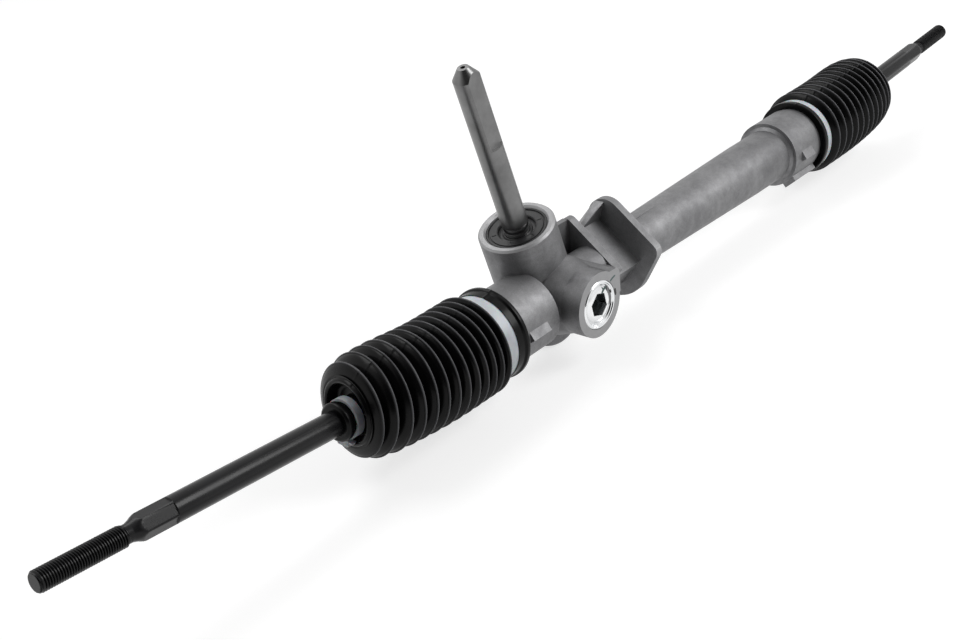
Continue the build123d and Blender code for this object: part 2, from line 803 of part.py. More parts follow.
with BuildPart() as support_yoke:
    with BuildSketch(Plane.XY):
        with BuildLine():
            Polyline(
                (pinion_x, yoke_back_y + yoke_pocket_depth),
                (pinion_x + yoke_pocket_r, yoke_back_y + yoke_pocket_depth),
                (pinion_x + yoke_pocket_r, yoke_back_y),
                (pinion_x + yoke_bore_r - plug_chamfer, yoke_back_y),
                (pinion_x + yoke_bore_r, yoke_back_y + plug_chamfer),
                (pinion_x + yoke_bore_r, yoke_groove_y - yoke_groove_width / 2),
                (pinion_x + ring_groove_r, yoke_groove_y - yoke_groove_width / 2),
                (pinion_x + ring_groove_r, yoke_groove_y + yoke_groove_width / 2),
                (pinion_x + yoke_bore_r, yoke_groove_y + yoke_groove_width / 2),
                (pinion_x + yoke_bore_r, yoke_front_y),
                (pinion_x, yoke_front_y),
                close=True,
            )
        make_face()
    revolve(axis=yoke_axis)
    with BuildSketch(Plane.YZ.offset(pinion_x - 2 * yoke_bore_r)):
        Circle(liner_r + liner_thickness + seat_gap)
    extrude(amount=4 * yoke_bore_r, mode=Mode.SUBTRACT)

support_yoke.part.label = "support_yoke"
export_step(support_yoke.part, "parts/support_yoke.step")

with BuildPart() as yoke_ring:
    with BuildSketch(Plane.XY):
        with Locations((pinion_x + ring_groove_r + ring_half_height + running_gap, yoke_groove_y)):
            Ellipse(ring_half_height, ring_half_width)
    revolve(axis=yoke_axis)

yoke_ring.part.label = "yoke_ring"
export_step(yoke_ring.part, "parts/yoke_ring.step")

plug_inner_y = boss_face_y - plug_proud + plug_thickness
plug_outer_y = boss_face_y - plug_proud
with BuildPart() as yoke_plug:
    with BuildSketch(Plane.XY):
        with BuildLine():
            Polyline(
                (pinion_x, plug_inner_y),
                (pinion_x + plug_bore_r - plug_chamfer, plug_inner_y),
                (pinion_x + plug_bore_r, plug_inner_y - plug_chamfer),
                (pinion_x + plug_bore_r, plug_outer_y + plug_chamfer),
                (pinion_x + plug_bore_r - plug_chamfer, plug_outer_y),
                (pinion_x + plug_dish_r, plug_outer_y),
                (pinion_x + plug_dish_r - plug_dish_depth, plug_outer_y + plug_dish_depth),
                (pinion_x, plug_outer_y + plug_dish_depth),
                close=True,
            )
        make_face()
    revolve(axis=yoke_axis)
    with BuildSketch(Plane.XZ.offset(-plug_outer_y)):
        with Locations((pinion_x, 0)):
            RegularPolygon(
                radius=plug_hex_flats / 2,
                side_count=6,
                major_radius=False,
                rotation=plug_hex_turn_deg,
            )
    extrude(amount=-plug_hex_depth, mode=Mode.SUBTRACT)

yoke_plug.part.label = "yoke_plug"
export_step(yoke_plug.part, "parts/yoke_plug.step")

spring_foot_y = plug_inner_y
spring_head_y = yoke_back_y + yoke_pocket_depth
spring_length = spring_head_y - spring_foot_y
with BuildPart() as yoke_spring:
    coil_height = spring_length - spring_wire / 2
    with BuildLine() as coil:
        Helix(
            pitch=coil_height / spring_turns,
            height=coil_height,
            radius=spring_mean_r,
            center=(pinion_x, spring_foot_y + spring_wire / 4, 0),
            direction=(0, 1, 0),
        )
    with BuildSketch(Plane(origin=coil.line @ 0, z_dir=coil.line % 0)):
        Circle(spring_wire / 2)
    sweep()
    # ground ends
    with BuildSketch(Plane.XZ.offset(-spring_foot_y)):
        with Locations((pinion_x, 0)):
            Circle(yoke_pocket_r)
    extrude(amount=spring_wire, mode=Mode.SUBTRACT)
    with BuildSketch(Plane.XZ.offset(-spring_head_y)):
        with Locations((pinion_x, 0)):
            Circle(yoke_pocket_r)
    extrude(amount=-spring_wire, mode=Mode.SUBTRACT)

yoke_spring.part.label = "yoke_spring"
export_step(yoke_spring.part, "parts/yoke_spring.step")


# ================================================================ both ends of the rack
def axial(side, centre_x, distance):
    """x of a point at distance outboard of centre_x."""
    return centre_x + side * distance


def build_lock_washer(name, side, rack_end_x):
    with BuildPart() as washer:
        with BuildSketch(Plane.YZ.offset(rack_end_x)):
            Circle(washer_r)
            with Locations(Rotation(0, 0, 45)):
                with PolarLocations(washer_r, 2):
                    Rectangle(2 * washer_thickness, 3 * washer_thickness)
            Circle(washer_hole_r, mode=Mode.SUBTRACT)
        extrude(amount=side * washer_thickness)
    washer.part.label = name
    export_step(washer.part, f"parts/{name}.step")


def build_ball_housing(name, side, ball_x):
    mouth_angle = radians(housing_mouth_deg)
    mouth_r = cavity_r * sin(mouth_angle)
    mouth_at = cavity_r * cos(mouth_angle)
    with BuildPart() as socket:
        with BuildSketch(Plane.XY):
            with BuildLine():
                Polyline(
                    (axial(side, ball_x, -ball_to_shoulder - ball_stud_length), 0),
                    (axial(side, ball_x, -ball_to_shoulder - ball_stud_length), ball_stud_r - tip_chamfer),
                    (axial(side, ball_x, -ball_to_shoulder - ball_stud_length + tip_chamfer), ball_stud_r),
                    (axial(side, ball_x, -ball_to_shoulder), ball_stud_r),
                    (axial(side, ball_x, -ball_to_shoulder), ball_housing_r - tip_chamfer),
                    (axial(side, ball_x, -ball_to_shoulder + tip_chamfer), ball_housing_r),
                    (axial(side, ball_x, ball_to_mouth - housing_mouth_flare), ball_housing_r),
                    (axial(side, ball_x, ball_to_mouth), mouth_r + housing_mouth_flare),
                    (axial(side, ball_x, mouth_at), mouth_r),
                    (axial(side, ball_x, mouth_at), 0),
                    close=True,
                )
            make_face()
        revolve(axis=Axis.X)
        with Locations((ball_x, 0, 0)):
            Sphere(cavity_r, mode=Mode.SUBTRACT)
        # two spanner flats
        flats_x = axial(side, ball_x, -ball_to_shoulder + ball_housing_flat_length / 2)
        with BuildSketch(Plane.XY.offset(-ball_housing_r)):
            for across in (-1, 1):
                with Locations((flats_x, across * (ball_housing_flat_r + ball_housing_r) / 2)):
                    Rectangle(ball_housing_flat_length, ball_housing_r - ball_housing_flat_r)
        extrude(amount=2 * ball_housing_r, mode=Mode.SUBTRACT)
    socket.part.label = name
    export_step(socket.part, f"parts/{name}.step")


def build_ball_seat(name, side, ball_x):
    """Plastic liner: a ball shell, open on the rod's side."""
    outer_r = cavity_r - running_gap
    inner_r = rod_ball_r + running_gap
    mouth_angle = radians(seat_mouth_deg)
    with BuildPart() as seat:
        with BuildSketch(Plane.XY):
            with BuildLine():
                back_out = (axial(side, ball_x, -outer_r), 0)
                side_out = (axial(side, ball_x, 0), outer_r)
                rim_out = (
                    axial(side, ball_x, outer_r * cos(mouth_angle)),
                    outer_r * sin(mouth_angle),
                )
                rim_in = (
                    axial(side, ball_x, inner_r * cos(mouth_angle)),
                    inner_r * sin(mouth_angle),
                )
                side_in = (axial(side, ball_x, 0), inner_r)
                back_in = (axial(side, ball_x, -inner_r), 0)
                ThreePointArc(back_out, _midway(side, ball_x, outer_r), side_out)
                ThreePointArc(side_out, _rimway(side, ball_x, outer_r, mouth_angle), rim_out)
                Line(rim_out, rim_in)
                ThreePointArc(rim_in, _rimway(side, ball_x, inner_r, mouth_angle), side_in)
                ThreePointArc(side_in, _midway(side, ball_x, inner_r), back_in)
                Line(back_in, back_out)
            make_face()
        revolve(axis=Axis.X)
    seat.part.label = name
    export_step(seat.part, f"parts/{name}.step")


def _midway(side, ball_x, r):
    return (axial(side, ball_x, -r * cos(pi / 4)), r * sin(pi / 4))


def _rimway(side, ball_x, r, mouth_angle):
    half = (mouth_angle + pi / 2) / 2
    return (axial(side, ball_x, r * cos(half)), r * sin(half))


def build_tie_rod(name, side, ball_x, rise_deg, rod_length, thread_length):
    ball_centre = Vector(ball_x, 0, 0)
    along = rise_dir(side, rise_deg)
    section = Plane(origin=ball_centre, x_dir=along, z_dir=along.cross(Vector(0, 0, 1)))
    neck_start = sqrt(rod_ball_r**2 - rod_neck_r**2)
    hex_start = rod_length - thread_length - hex_cone_length - hex_length
    with BuildPart() as rod:
        with BuildSketch(section):
            with BuildLine():
                shank = Polyline(
                    (neck_start, rod_neck_r),
                    (rod_neck_length, rod_neck_r),
                    (rod_neck_length + rod_taper_length, rod_r),
                    (hex_start, rod_r),
                    (hex_start, hex_corner_r),
                    (rod_length - thread_length - hex_cone_length, hex_corner_r),
                    (rod_length - thread_length, thread_r - tip_chamfer / 2),
                    (rod_length - thread_length + tip_chamfer, thread_r - tip_chamfer / 2),
                    (rod_length - thread_length + 1.5 * tip_chamfer, thread_r),
                    (rod_length - tip_chamfer, thread_r),
                    (rod_length, thread_r - tip_chamfer),
                    (rod_length, 0),
                    (-rod_ball_r, 0),
                )
                ThreePointArc(shank @ 1, (0, rod_ball_r), shank @ 0)
            make_face()
        revolve(axis=Axis(ball_centre, along))
        # spanner hexagon inboard of the thread
        hex_plane = Plane(origin=ball_centre + along * hex_start, x_dir=(0, 1, 0), z_dir=along)
        with BuildSketch(hex_plane):
            Circle(2 * hex_corner_r)
            RegularPolygon(
                radius=hex_flats / 2, side_count=6, major_radius=False, mode=Mode.SUBTRACT
            )
        extrude(amount=hex_length + hex_cone_length / 3, mode=Mode.SUBTRACT)
    rod.part.label = name
    export_step(rod.part, f"parts/{name}.step")


def bellows_points(side, lip_x, end_x, inward):
    """Wall line of a boot from its lip to its end wall; inward is how far inside the skin it lies."""
    first = axial(side, lip_x, boot_lip_length + band_seat_length)
    length = abs(end_x - first)
    points = []
    last = boot_convolutions - 1
    for k in range(boot_convolutions):
        share = k / last
        crest = boot_crest_r - (boot_crest_r - boot_end_crest_r) * share**boot_taper
        crest_at = axial(side, first, length * (k + 0.5) / boot_convolutions)
        root_at = axial(side, first, length * (k + 1) / boot_convolutions)
        points.append((crest_at, crest - inward))
        if k < last:
            points.append((root_at, boot_root_r - inward - share * share * seat_wall))
    return points


def build_boot(name, side, lip_x, end_x, ball_x, rise_deg):
    """Bellows: its collar grips the housing, its neck follows the tilted rod."""
    ball_centre = Vector(ball_x, 0, 0)
    along = rise_dir(side, rise_deg)
    bore_r = boot_seat_r + seat_gap
    lip_end = axial(side, lip_x, boot_lip_length)
    seat_end = axial(side, lip_x, boot_lip_length + band_seat_length)
    neck_plane_at = (abs(end_x - ball_x) - boot_neck_inset) / along.dot(Vector(side, 0, 0))
    neck_plane = Plane(origin=ball_centre + along * neck_plane_at, x_dir=(0, 1, 0), z_dir=along)
    with BuildPart() as boot:
        with BuildSketch(Plane.XY):
            with BuildLine():
                Polyline(
                    (lip_x, bore_r),
                    (lip_x, boot_lip_r),
                    (lip_end, boot_lip_r),
                    (lip_end, band_seat_r),
                    (seat_end, band_seat_r),
                    *bellows_points(side, lip_x, end_x, 0),
                    (end_x, boot_mouth_r + boot_neck_inset),
                    (axial(side, end_x, -boot_neck_inset), boot_mouth_r),
                    (axial(side, end_x, -boot_neck_inset), 0),
                    (axial(side, end_x, -boot_neck_inset - boot_wall), 0),
                    (axial(side, end_x, -boot_neck_inset - boot_wall), boot_mouth_r + boot_wall),
                    (axial(side, end_x, -boot_wall), boot_mouth_r + boot_neck_inset),
                    *reversed(bellows_points(side, lip_x, end_x, boot_wall)),
                    (axial(side, seat_end, boot_wall), bore_r),
                    close=True,
                )
            make_face()
        revolve(axis=Axis.X)
        with BuildSketch(neck_plane.offset(-boot_wall)):
            Circle(boot_neck_r)
        extrude(amount=boot_neck_length)
        with BuildSketch(neck_plane.offset(-boot_neck_length)):
            Circle(rod_r + soft_gap)
        extrude(amount=3 * boot_neck_length, mode=Mode.SUBTRACT)
    boot.part.label = name
    export_step(boot.part, f"parts/{name}.step")


def build_band(name, side, lip_x):
    inner_r = band_seat_r + seat_gap
    middle = axial(side, lip_x, boot_lip_length + band_seat_length / 2)
    with BuildPart() as band:
        with BuildSketch(Plane.YZ.offset(middle - band_width / 2)):
            Circle(inner_r + band_thickness)
            Circle(inner_r, mode=Mode.SUBTRACT)
        extrude(amount=band_width)
    band.part.label = name
    export_step(band.part, f"parts/{name}.step")


def build_clip(name, side, end_x, ball_x, rise_deg):
    ball_centre = Vector(ball_x, 0, 0)
    along = rise_dir(side, rise_deg)
    neck_at = (abs(end_x - ball_x) - boot_neck_inset) / along.dot(Vector(side, 0, 0))
    clip_at = neck_at + boot_neck_length - boot_wall - clip_width - 2 * soft_gap
    clip_plane = Plane(origin=ball_centre + along * clip_at, x_dir=(0, 1, 0), z_dir=along)
    inner_r = boot_neck_r + soft_gap
    with BuildPart() as clip:
        with BuildSketch(clip_plane):
            Circle(inner_r + clip_thickness)
            Circle(inner_r, mode=Mode.SUBTRACT)
        extrude(amount=clip_width)
    clip.part.label = name
    export_step(clip.part, f"parts/{name}.step")


ends = (
    ("near", -1, near_rack_end_x, near_ball_x, near_rise_deg, near_rod_length, near_thread_length,
     near_lip_x, near_boot_end_x),
    ("far", 1, far_rack_end_x, far_ball_x, far_rise_deg, far_rod_length, far_thread_length,
     far_lip_x, far_boot_end_x),
)
for end, side, rack_end_x, ball_x, rise_deg, rod_length, thread_length, lip_x, boot_end_x in ends:
    build_lock_washer(f"{end}_lock_washer", side, rack_end_x)
    build_ball_housing(f"{end}_ball_housing", side, ball_x)
    build_ball_seat(f"{end}_ball_seat", side, ball_x)
    build_tie_rod(f"{end}_tie_rod", side, ball_x, rise_deg, rod_length, thread_length)
    build_boot(f"{end}_boot", side, lip_x, boot_end_x, ball_x, rise_deg)
    build_band(f"{end}_boot_band", side, lip_x)
    build_clip(f"{end}_boot_clip", side, boot_end_x, ball_x, rise_deg)
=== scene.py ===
import bmesh
import bpy
import json
from dataclasses import dataclass
from math import asin, cos, pi, radians, sin, sqrt, tan
from mathutils import Matrix, Vector


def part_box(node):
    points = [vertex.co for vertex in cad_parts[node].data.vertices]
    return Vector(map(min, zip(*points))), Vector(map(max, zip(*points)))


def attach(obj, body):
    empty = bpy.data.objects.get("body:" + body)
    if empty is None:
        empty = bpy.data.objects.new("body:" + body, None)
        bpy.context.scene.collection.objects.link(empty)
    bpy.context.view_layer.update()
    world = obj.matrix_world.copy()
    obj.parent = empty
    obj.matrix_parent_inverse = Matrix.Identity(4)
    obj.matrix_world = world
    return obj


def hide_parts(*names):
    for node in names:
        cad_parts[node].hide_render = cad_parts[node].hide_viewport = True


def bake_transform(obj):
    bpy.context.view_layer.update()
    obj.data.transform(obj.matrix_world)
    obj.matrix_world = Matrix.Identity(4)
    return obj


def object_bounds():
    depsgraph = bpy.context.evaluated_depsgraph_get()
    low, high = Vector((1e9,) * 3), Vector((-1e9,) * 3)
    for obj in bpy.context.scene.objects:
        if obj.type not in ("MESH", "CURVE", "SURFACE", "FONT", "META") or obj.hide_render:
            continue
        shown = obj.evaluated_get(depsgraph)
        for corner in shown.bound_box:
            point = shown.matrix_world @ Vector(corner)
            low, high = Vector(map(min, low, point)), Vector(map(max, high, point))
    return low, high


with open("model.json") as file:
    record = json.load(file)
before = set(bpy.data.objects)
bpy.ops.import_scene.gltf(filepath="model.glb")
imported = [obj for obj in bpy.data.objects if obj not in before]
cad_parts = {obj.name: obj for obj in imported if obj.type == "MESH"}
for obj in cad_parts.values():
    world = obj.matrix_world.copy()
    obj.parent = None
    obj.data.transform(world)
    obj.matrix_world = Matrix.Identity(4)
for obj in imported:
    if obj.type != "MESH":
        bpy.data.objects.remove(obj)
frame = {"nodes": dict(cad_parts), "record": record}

# Manual rack and pinion steering gear.  Metres, in the CAD's frame: the origin is on the rack's axis in
# the middle of the clamp saddle, +X runs to the far end, -Y is the yoke plug's side, +Z is up.

box_low, box_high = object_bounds()

scene = bpy.context.scene
nodes = frame["nodes"]
MM = 0.001

# ================================================================ sizes of the solids, in millimetres
LEAN = radians(16.6)
PINION_X, PINION_Y = -54.0, 14.0
PINION_DIR = Vector((-sin(LEAN), 0, cos(LEAN)))
PINION_FOOT = Vector((PINION_X, PINION_Y, 0))
TOWER_MOUTH, JOURNAL_HEAD = 51.3, 54.6         # along the shaft, from the rack's axis
BOSS_FACE_Y, PLUG_OUTER_Y = -36.0, -36.4
NEAR_BALL, FAR_BALL = Vector((-177, 0, 0)), Vector((306, 0, 0))
NEAR_RISE, FAR_RISE = radians(4.6), radians(3.45)
NEAR_ALONG = Vector((-cos(NEAR_RISE), 0, sin(NEAR_RISE)))
FAR_ALONG = Vector((cos(FAR_RISE), 0, sin(FAR_RISE)))


# ================================================================ materials
# grey of the painted highlight along the boots' crests
CREST_HIGHLIGHT_GREY = (0.115, 0.115, 0.122)
MIX_A, MIX_B, MIX_RESULT = 6, 7, 2       # the colour sockets of the Mix node


def new_material(name):
    """A material, with its node tree and its shader."""
    m = bpy.data.materials.new(name)
    m.use_nodes = True
    tree = m.node_tree
    return m, tree, tree.nodes["Principled BSDF"]


def node(tree, kind, **settings):
    n = tree.nodes.new(kind)
    for key, value in settings.items():
        setattr(n, key, value)
    return n


def noise(tree, coords, scale, detail, roughness):
    n = node(tree, "ShaderNodeTexNoise")
    n.inputs["Scale"].default_value = scale
    n.inputs["Detail"].default_value = detail
    n.inputs["Roughness"].default_value = roughness
    tree.links.new(coords, n.inputs["Vector"])
    return n.outputs["Fac"]


def ramp(tree, value, stops):
    """Colour from a value, by stops of (position, colour)."""
    n = node(tree, "ShaderNodeValToRGB")
    elements = n.color_ramp.elements
    while len(elements) < len(stops):
        elements.new(0.5)
    for element, (at, colour) in zip(elements, stops):
        element.position = at
        element.color = (*colour, 1)
    tree.links.new(value, n.inputs["Fac"])
    return n.outputs["Color"]


def map_range(tree, value, lo, hi, to_lo, to_hi):
    n = node(tree, "ShaderNodeMapRange")
    for key, v in (("From Min", lo), ("From Max", hi), ("To Min", to_lo), ("To Max", to_hi)):
        n.inputs[key].default_value = v
    tree.links.new(value, n.inputs["Value"])
    return n.outputs["Result"]


def mix_colour(tree, fac, a, b, blend="MIX"):
    """Mix of a and b, each a colour or a socket."""
    n = node(tree, "ShaderNodeMix", data_type="RGBA", blend_type=blend)
    for index, colour in ((MIX_A, a), (MIX_B, b)):
        if isinstance(colour, tuple):
            n.inputs[index].default_value = (*colour, 1)
        else:
            tree.links.new(colour, n.inputs[index])
    if isinstance(fac, float):
        n.inputs[0].default_value = fac
    else:
        tree.links.new(fac, n.inputs[0])
    return n.outputs[MIX_RESULT]


def largest(tree, sockets):
    """The largest value of the sockets."""
    value = sockets[0]
    for other in sockets[1:]:
        n = node(tree, "ShaderNodeMath", operation="MAXIMUM")
        tree.links.new(value, n.inputs[0])
        tree.links.new(other, n.inputs[1])
        value = n.outputs[0]
    return value


def bump(tree, shader, heights):
    """Chains (height, strength, distance in millimetres) bumps into the shader's normal."""
    normal = None
    for height, strength, distance in heights:
        n = node(tree, "ShaderNodeBump")
        n.inputs["Strength"].default_value = strength
        n.inputs["Distance"].default_value = distance * MM
        tree.links.new(height, n.inputs["Height"])
        if normal is not None:
            tree.links.new(normal, n.inputs["Normal"])
        normal = n.outputs["Normal"]
    tree.links.new(normal, shader.inputs["Normal"])


def object_coords(tree):
    return node(tree, "ShaderNodeTexCoord").outputs["Object"]


def metal(name, dark, light, rough_lo, rough_hi, grain_scale, grain):
    """Metal with mottled colour and roughness, and a fine grain."""
    m, tree, shader = new_material(name)
    coords = object_coords(tree)
    mottle = noise(tree, coords, 60.0, 5.0, 0.6)
    fine = noise(tree, coords, grain_scale, 3.0, 0.6)
    colour = ramp(tree, mottle, ((0.32, dark), (0.68, light)))
    tree.links.new(colour, shader.inputs["Base Color"])
    tree.links.new(map_range(tree, mottle, 0.3, 0.7, rough_hi, rough_lo), shader.inputs["Roughness"])
    shader.inputs["Metallic"].default_value = 1.0
    bump(tree, shader, ((fine, grain, 0.25),))
    return m


def beyond(tree, coords, direction, limit, softness=0.15):
    """Mask of what lies beyond a plane, given by its outward direction and its distance in millimetres."""
    along = node(tree, "ShaderNodeVectorMath", operation="DOT_PRODUCT")
    along.inputs[1].default_value = direction
    tree.links.new(coords, along.inputs[0])
    return map_range(tree, along.outputs["Value"], (limit - softness) * MM, (limit + softness) * MM, 0.0, 1.0)


def painted_edge_highlight(tree, radius):
    """Mask of sharp outer and inner edges, from normals that are rounded over radius, for a painted highlight
    there.
    """
    soft = node(tree, "ShaderNodeBevel", samples=6)
    soft.inputs["Radius"].default_value = radius * MM
    plain = node(tree, "ShaderNodeNewGeometry")
    agree = node(tree, "ShaderNodeVectorMath", operation="DOT_PRODUCT")
    tree.links.new(soft.outputs["Normal"], agree.inputs[0])
    tree.links.new(plain.outputs["Normal"], agree.inputs[1])
    return map_range(tree, agree.outputs["Value"], 0.97, 0.80, 0.0, 1.0)


def cast_aluminium():
    """Die casting: grey, cloudy and finely grained, with a painted highlight that makes its edges brighter,
    and machined faces.
    """
    m, tree, shader = new_material("cast_aluminium")
    coords = object_coords(tree)
    broad = noise(tree, coords, 26.0, 5.0, 0.6)
    stain = noise(tree, coords, 140.0, 5.0, 0.65)
    grain = noise(tree, coords, 1500.0, 3.0, 0.6)
    colour = ramp(tree, broad, ((0.30, (0.175, 0.175, 0.180)), (0.70, (0.245, 0.245, 0.250))))
    clouds = ramp(tree, stain, ((0.35, (0.90, 0.90, 0.90)), (0.65, (1.08, 1.08, 1.08))))
    specks = ramp(tree, grain, ((0.38, (0.90, 0.90, 0.90)), (0.62, (1.08, 1.08, 1.08))))
    colour = mix_colour(tree, 1.0, colour, clouds, "MULTIPLY")
    colour = mix_colour(tree, 1.0, colour, specks, "MULTIPLY")
    # painted highlight: sharp edges are made lighter, for the highlights that rounded edges would catch
    colour = mix_colour(tree, painted_edge_highlight(tree, 0.6), colour, (0.33, 0.33, 0.335))
    tower_rim = beyond(tree, coords, PINION_DIR, TOWER_MOUTH + PINION_FOOT.dot(PINION_DIR) - 1.3)
    boss_face = beyond(tree, coords, (0, -1, 0), -BOSS_FACE_Y - 0.2)
    machined = largest(tree, [tower_rim, boss_face])
    colour = mix_colour(tree, machined, colour, (0.33, 0.33, 0.335))
    tree.links.new(colour, shader.inputs["Base Color"])
    tree.links.new(map_range(tree, stain, 0.3, 0.7, 0.60, 0.48), shader.inputs["Roughness"])
    shader.inputs["Metallic"].default_value = 0.8
    bump(tree, shader, ((stain, 0.10, 0.5), (grain, 0.10, 0.25)))
    return m


def input_shaft_steel():
    """Turned shaft: grey above, polished where the seal runs."""
    m, tree, shader = new_material("input_shaft_steel")
    coords = object_coords(tree)
    broad = noise(tree, coords, 70.0, 5.0, 0.6)
    fine = noise(tree, coords, 1500.0, 3.0, 0.6)
    colour = ramp(tree, broad, ((0.32, (0.150, 0.150, 0.150)), (0.68, (0.205, 0.205, 0.205))))
    dull = beyond(tree, coords, PINION_DIR, JOURNAL_HEAD + PINION_FOOT.dot(PINION_DIR))
    colour = mix_colour(tree, dull, (0.90, 0.90, 0.90), colour)
    tree.links.new(colour, shader.inputs["Base Color"])
    tree.links.new(map_range(tree, dull, 0.0, 1.0, 0.12, 0.33), shader.inputs["Roughness"])
    shader.inputs["Metallic"].default_value = 1.0
    bump(tree, shader, ((fine, 0.06, 0.2),))
    return m


def black_rubber(name, base, rough, specular):
    """Black rubber, a little dusty; on the crests' beads, which a mesh attribute marks, a painted highlight
    lightens it to grey.
    """
    m, tree, shader = new_material(name)
    coords = object_coords(tree)
    broad = noise(tree, coords, 45.0, 4.0, 0.6)
    fine = noise(tree, coords, 1400.0, 3.0, 0.6)
    tone = (base, base, base * 1.06)
    dusty = (base * 2.0, base * 2.0, base * 2.1)
    # painted highlight: the marked crests are lightened to grey
    crest_highlight = node(tree, "ShaderNodeAttribute", attribute_name="crest_highlight")
    colour = mix_colour(tree, crest_highlight.outputs["Fac"], ramp(tree, broad, ((0.35, tone), (0.75, dusty))), CREST_HIGHLIGHT_GREY)
    tree.links.new(colour, shader.inputs["Base Color"])
    tree.links.new(map_range(tree, broad, 0.3, 0.7, rough - 0.04, rough + 0.06), shader.inputs["Roughness"])
    shader.inputs["Specular IOR Level"].default_value = specular
    bump(tree, shader, ((fine, 0.05, 0.12), (broad, 0.04, 0.8)))
    return m


def satin_black(name):
    """Black coated steel with faint wear."""
    m, tree, shader = new_material(name)
    coords = object_coords(tree)
    broad = noise(tree, coords, 55.0, 5.0, 0.6)
    fine = noise(tree, coords, 1800.0, 3.0, 0.6)
    scuffs = noise(tree, coords, 210.0, 8.0, 0.75)
    base = ramp(tree, broad, ((0.35, (0.004, 0.004, 0.0045)), (0.7, (0.008, 0.008, 0.009))))
    worn = ramp(tree, scuffs, ((0.66, (0.0, 0.0, 0.0)), (0.74, (0.4, 0.4, 0.4))))
    colour = mix_colour(tree, worn, base, (0.03, 0.03, 0.032))
    tree.links.new(colour, shader.inputs["Base Color"])
    tree.links.new(map_range(tree, broad, 0.3, 0.7, 0.22, 0.32), shader.inputs["Roughness"])
    shader.inputs["Specular IOR Level"].default_value = 0.22
    bump(tree, shader, ((fine, 0.07, 0.15),))
    return m


def plastic(name, colour_a, colour_b, rough, transmission=0.0, subsurface=0.0):
    """Moulded plastic or paint, a little cloudy; nylon also lets some light through."""
    m, tree, shader = new_material(name)
    coords = object_coords(tree)
    broad = noise(tree, coords, 120.0, 3.0, 0.5)
    fine = noise(tree, coords, 1500.0, 2.0, 0.5)
    tree.links.new(ramp(tree, broad, ((0.3, colour_a), (0.7, colour_b))), shader.inputs["Base Color"])
    tree.links.new(map_range(tree, broad, 0.3, 0.7, rough - 0.05, rough + 0.07), shader.inputs["Roughness"])
    shader.inputs["Transmission Weight"].default_value = transmission
    shader.inputs["Subsurface Weight"].default_value = subsurface
    shader.inputs["Subsurface Scale"].default_value = 0.002
    bump(tree, shader, ((fine, 0.05, 0.1),))
    return m


def zinc_plate():
    """Bright plating; the bottom of a recess deeper than the plug's face is darkened, a painted shade."""
    m = metal("zinc_plate", (0.72, 0.73, 0.74), (0.86, 0.87, 0.88), 0.10, 0.20, 900.0, 0.03)
    tree = m.node_tree
    shader = tree.nodes["Principled BSDF"]
    plated = shader.inputs["Base Color"].links[0].from_socket
    # painted shade: the socket's bottom is made dark
    painted_recess_shade = beyond(tree, object_coords(tree), (0, 1, 0), PLUG_OUTER_Y + 2.6, 1.2)
    tree.links.new(mix_colour(tree, painted_recess_shade, plated, (0.22, 0.23, 0.235)), shader.inputs["Base Color"])
    return m


materials = {
    "cast_aluminium": cast_aluminium(),
    "ground_steel": metal("ground_steel", (0.36, 0.36, 0.37), (0.5, 0.5, 0.51), 0.16, 0.28, 1500.0, 0.05),
    "phosphated_steel": metal(
        "phosphated_steel", (0.075, 0.074, 0.074), (0.135, 0.133, 0.13), 0.30, 0.46, 1300.0, 0.10
    ),
    "black_rod_steel": satin_black("black_rod_steel"),
    "bearing_steel": metal("bearing_steel", (0.55, 0.55, 0.56), (0.68, 0.68, 0.69), 0.08, 0.16, 1500.0, 0.02),
    "zinc_plate": zinc_plate(),
    "spring_steel": metal("spring_steel", (0.2, 0.2, 0.21), (0.34, 0.34, 0.35), 0.22, 0.34, 1400.0, 0.05),
    "sintered_bronze": metal(
        "sintered_bronze", (0.40, 0.27, 0.12), (0.58, 0.42, 0.22), 0.35, 0.5, 1100.0, 0.12
    ),
    "seal_rubber": black_rubber("seal_rubber", 0.010, 0.40, 0.35),
    "boot_rubber": black_rubber("boot_rubber", 0.0025, 0.24, 0.13),
    "black_plastic": black_rubber("black_plastic", 0.02, 0.42, 0.5),
    "natural_nylon": plastic("natural_nylon", (0.62, 0.66, 0.71), (0.78, 0.81, 0.84), 0.34, 0.12, 0.25),
    "acetal": plastic("acetal", (0.72, 0.70, 0.62), (0.80, 0.78, 0.71), 0.38),
}
for sub in frame["record"]["subparts"]:
    own = nodes[sub["node"]]
    own.data.materials.clear()
    own.data.materials.append(materials[sub["material_slot"]])
nodes["pinion"].data.materials[0] = input_shaft_steel()


# ================================================================ mesh helpers
def finish_mesh(name, builder, slot_name, sharp_deg=38.0):
    """Object from a bmesh with outward normals, smooth but for edges sharper than sharp_deg."""
    bmesh.ops.remove_doubles(builder, verts=builder.verts, dist=2e-6)
    bmesh.ops.recalc_face_normals(builder, faces=builder.faces)
    mesh = bpy.data.meshes.new(name)
    builder.to_mesh(mesh)
    builder.free()
    mesh.polygons.foreach_set("use_smooth", [True] * len(mesh.polygons))
    mesh.set_sharp_from_angle(angle=radians(sharp_deg))
    mesh.materials.append(materials[slot_name])
    made = bpy.data.objects.new(name, mesh)
    scene.collection.objects.link(made)
    return made


def marked_angles(segments, marks, half_width):
    """Even angles round a turn, with three more at each mark for a thin line to be raised or cut there."""
    even = [2 * pi * k / segments for k in range(segments)]
    kept = [a for a in even if all(abs(sin((a - m) / 2)) > half_width * 0.7 for m in marks)]
    return sorted(kept + [(m + d) % (2 * pi) for m in marks for d in (-half_width, 0.0, half_width)])


def near_mark(a, marks, half_width):
    """Whether a is the middle one of a mark's three angles."""
    return any(abs(sin((a - m) / 2)) < half_width / 4 for m in marks)


